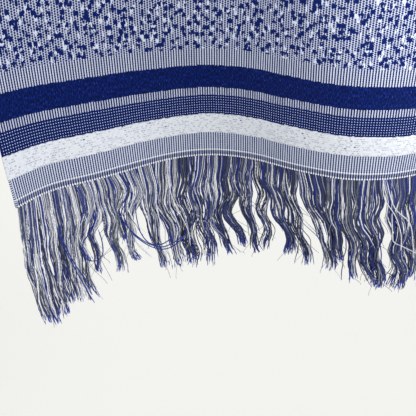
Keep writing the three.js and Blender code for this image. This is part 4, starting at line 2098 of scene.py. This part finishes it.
    def build(self, finish: Material) -> list[Piece]:
        """Builds the fringe of this end.

        Args:
            finish: The yarn's material.

        Returns:
            The yarns, their frayed tips and the loose fibres.
        """
        strands, end = self.strands(), self.end.value
        yarn = self.spin(strands, f"fringe_yarn_{end}", self.sides, finish)
        tips = self.fray(strands, f"fringe_tips_{end}", finish)
        hairs = self.spin(self.hairs(strands), f"fringe_hairs_{end}", self.fine_sides, finish)
        return [yarn, tips, hairs]


class Lamp(NamedTuple):
    """A wide, soft and even light from one side.

    azimuth is its direction round from the front, towards +X, and elevation its height above the horizon,
    both in degrees.
    """

    name: str
    azimuth: float
    elevation: float
    strength: float


@dataclass
class Studio:
    """The camera, the lights and the floor.

    Angles are in degrees, and picture and focal in the photograph's pixels. pool is a soft spot of light
    that falls from its place on its aim.
    """

    picture: float = 416.0
    focal: float = 640.0
    sensor: float = 36.0
    place: tuple[float, float, float] = (-187.1, -620.7, -486.1)
    pitch: float = 34.40
    yaw: float = 1.31
    roll: float = -2.54
    floor_below: float = 1450.0
    floor_radius: float = 14000.0
    floor_sides: int = 64
    light: Colour = (1.0, 1.0, 0.985, 1.0)
    light_width: float = 35.0
    sky: float = 0.61
    lamps: tuple[Lamp, ...] = (Lamp("key", 62, 30, 1.65), Lamp("fill", -58, 32, 0.46))
    pool_place: tuple[float, float, float] = (60.0, -900.0, -420.0)
    pool_aim: tuple[float, float, float] = (-5.0, -60.0, -620.0)
    pool_cone: float = 26.0
    pool_power: float = 29.0

    def build_camera(self) -> None:
        """Makes the camera at the photograph's place and angle."""
        pitch, yaw, roll = (math.radians(v) for v in (self.pitch, self.yaw, self.roll))
        straight = Vector((-math.sin(yaw), math.cos(yaw), 0)) * math.cos(pitch)
        ahead = straight - Vector((0, 0, math.sin(pitch)))
        level = Vector((math.cos(yaw), math.sin(yaw), 0))
        down = ahead.cross(level)
        right = level * math.cos(roll) - down * math.sin(roll)
        up = -(level * math.sin(roll) + down * math.cos(roll))
        data = bpy.data.cameras.new("camera")
        data.sensor_width = self.sensor
        data.lens = self.focal / self.picture * self.sensor
        data.clip_start, data.clip_end = 0.01, 100.0
        camera = bpy.data.objects.new("camera", data)
        bpy.context.scene.collection.objects.link(camera)
        axes = Matrix((right, up, -ahead)).transposed().to_4x4()
        camera.matrix_world = Matrix.Translation(Vector(self.place) * MM) @ axes
        bpy.context.scene.camera = camera

    def build_floor(self) -> None:
        """Makes the floor."""
        count = self.floor_sides
        around = np.arange(count) * TURN / count
        points = np.stack([np.cos(around), np.sin(around), np.zeros(count)], axis=1) * self.floor_radius
        points[:, 2] = -self.floor_below
        floor = make_piece("floor", points, [tuple(range(count))])
        floor.data.materials.append(PAPER.material())

    def hang_light(self, data: bpy.types.Light, power: float, place: Vector, back: Vector) -> None:
        """Puts a light in the scene.

        Args:
            data: The light.
            power: Its power.
            place: Its place in metres.
            back: The direction from what it lights towards it.
        """
        data.energy, data.color = power, self.light[:3]
        lamp = bpy.data.objects.new(data.name, data)
        bpy.context.scene.collection.objects.link(lamp)
        lamp.location = place
        lamp.rotation_euler = back.to_track_quat("Z", "Y").to_euler()

    def build_lights(self) -> None:
        """Makes the even pale light from all round, the wide lights and the soft spot of light."""
        world = bpy.data.worlds.new("sky")
        world.use_nodes = True
        background = world.node_tree.nodes["Background"]
        background.inputs["Color"].default_value = self.light
        background.inputs["Strength"].default_value = self.sky
        bpy.context.scene.world = world
        for lamp in self.lamps:
            data = bpy.data.lights.new(lamp.name, "SUN")
            data.angle = math.radians(self.light_width)
            turn, lift = math.radians(lamp.azimuth), math.radians(lamp.elevation)
            back = (math.sin(turn) * math.cos(lift), -math.cos(turn) * math.cos(lift), math.sin(lift))
            self.hang_light(data, lamp.strength, Vector(back) * 4, Vector(back))
        data = bpy.data.lights.new("pool", "SPOT")
        data.spot_size, data.spot_blend, data.shadow_soft_size = math.radians(self.pool_cone), 1.0, 0.1
        place = Vector(self.pool_place)
        self.hang_light(data, self.pool_power, place * MM, place - Vector(self.pool_aim))

    def build(self) -> None:
        """Makes the camera, the floor and the lights."""
        bpy.context.scene.view_settings.view_transform = "Standard"
        self.build_camera()
        self.build_floor()
        self.build_lights()


def main() -> None:
    """Builds the scarf round its frame and reports each piece."""
    logging.basicConfig(level=logging.INFO, format="%(name)s: %(message)s")
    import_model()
    form = ScarfForm()
    Studio().build()

    panel = KnittedCloth(form)
    knit = KnitFinish().material(form.length)
    cloths = {}
    for stretch in panel.stretches():
        cloth = cloths[stretch.node] = panel.build(stretch)
        cloth.data.materials.append(knit)
        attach(cloth, BODY)
        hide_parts(stretch.node)
        log.info("%s: %d faces", cloth.name, len(cloth.data.polygons))

    thread, yarn = THREAD.material(), YarnFinish().material()
    for end, drops, tufts, strays in (
        (End.LEFT, LEFT_FRINGE, LEFT_TUFTS, LEFT_STRAYS),
        (End.RIGHT, RIGHT_FRINGE, (), ()),
    ):
        stitches = HemStitches(panel, end).build(thread)
        fringe = YarnFringe(form, end, drops, tufts, strays, seed=SEEDS[end]).build(yarn)
        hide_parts(f"fringe_{end.value}")
        for piece in (stitches, *fringe):
            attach(piece, BODY)
            log.info("%s: %d faces", piece.name, len(piece.data.polygons))
    for stretch in panel.stretches():
        flat = (form.width * MM, (stretch.end - stretch.start) * MM)


if __name__ == "__main__":
    main()
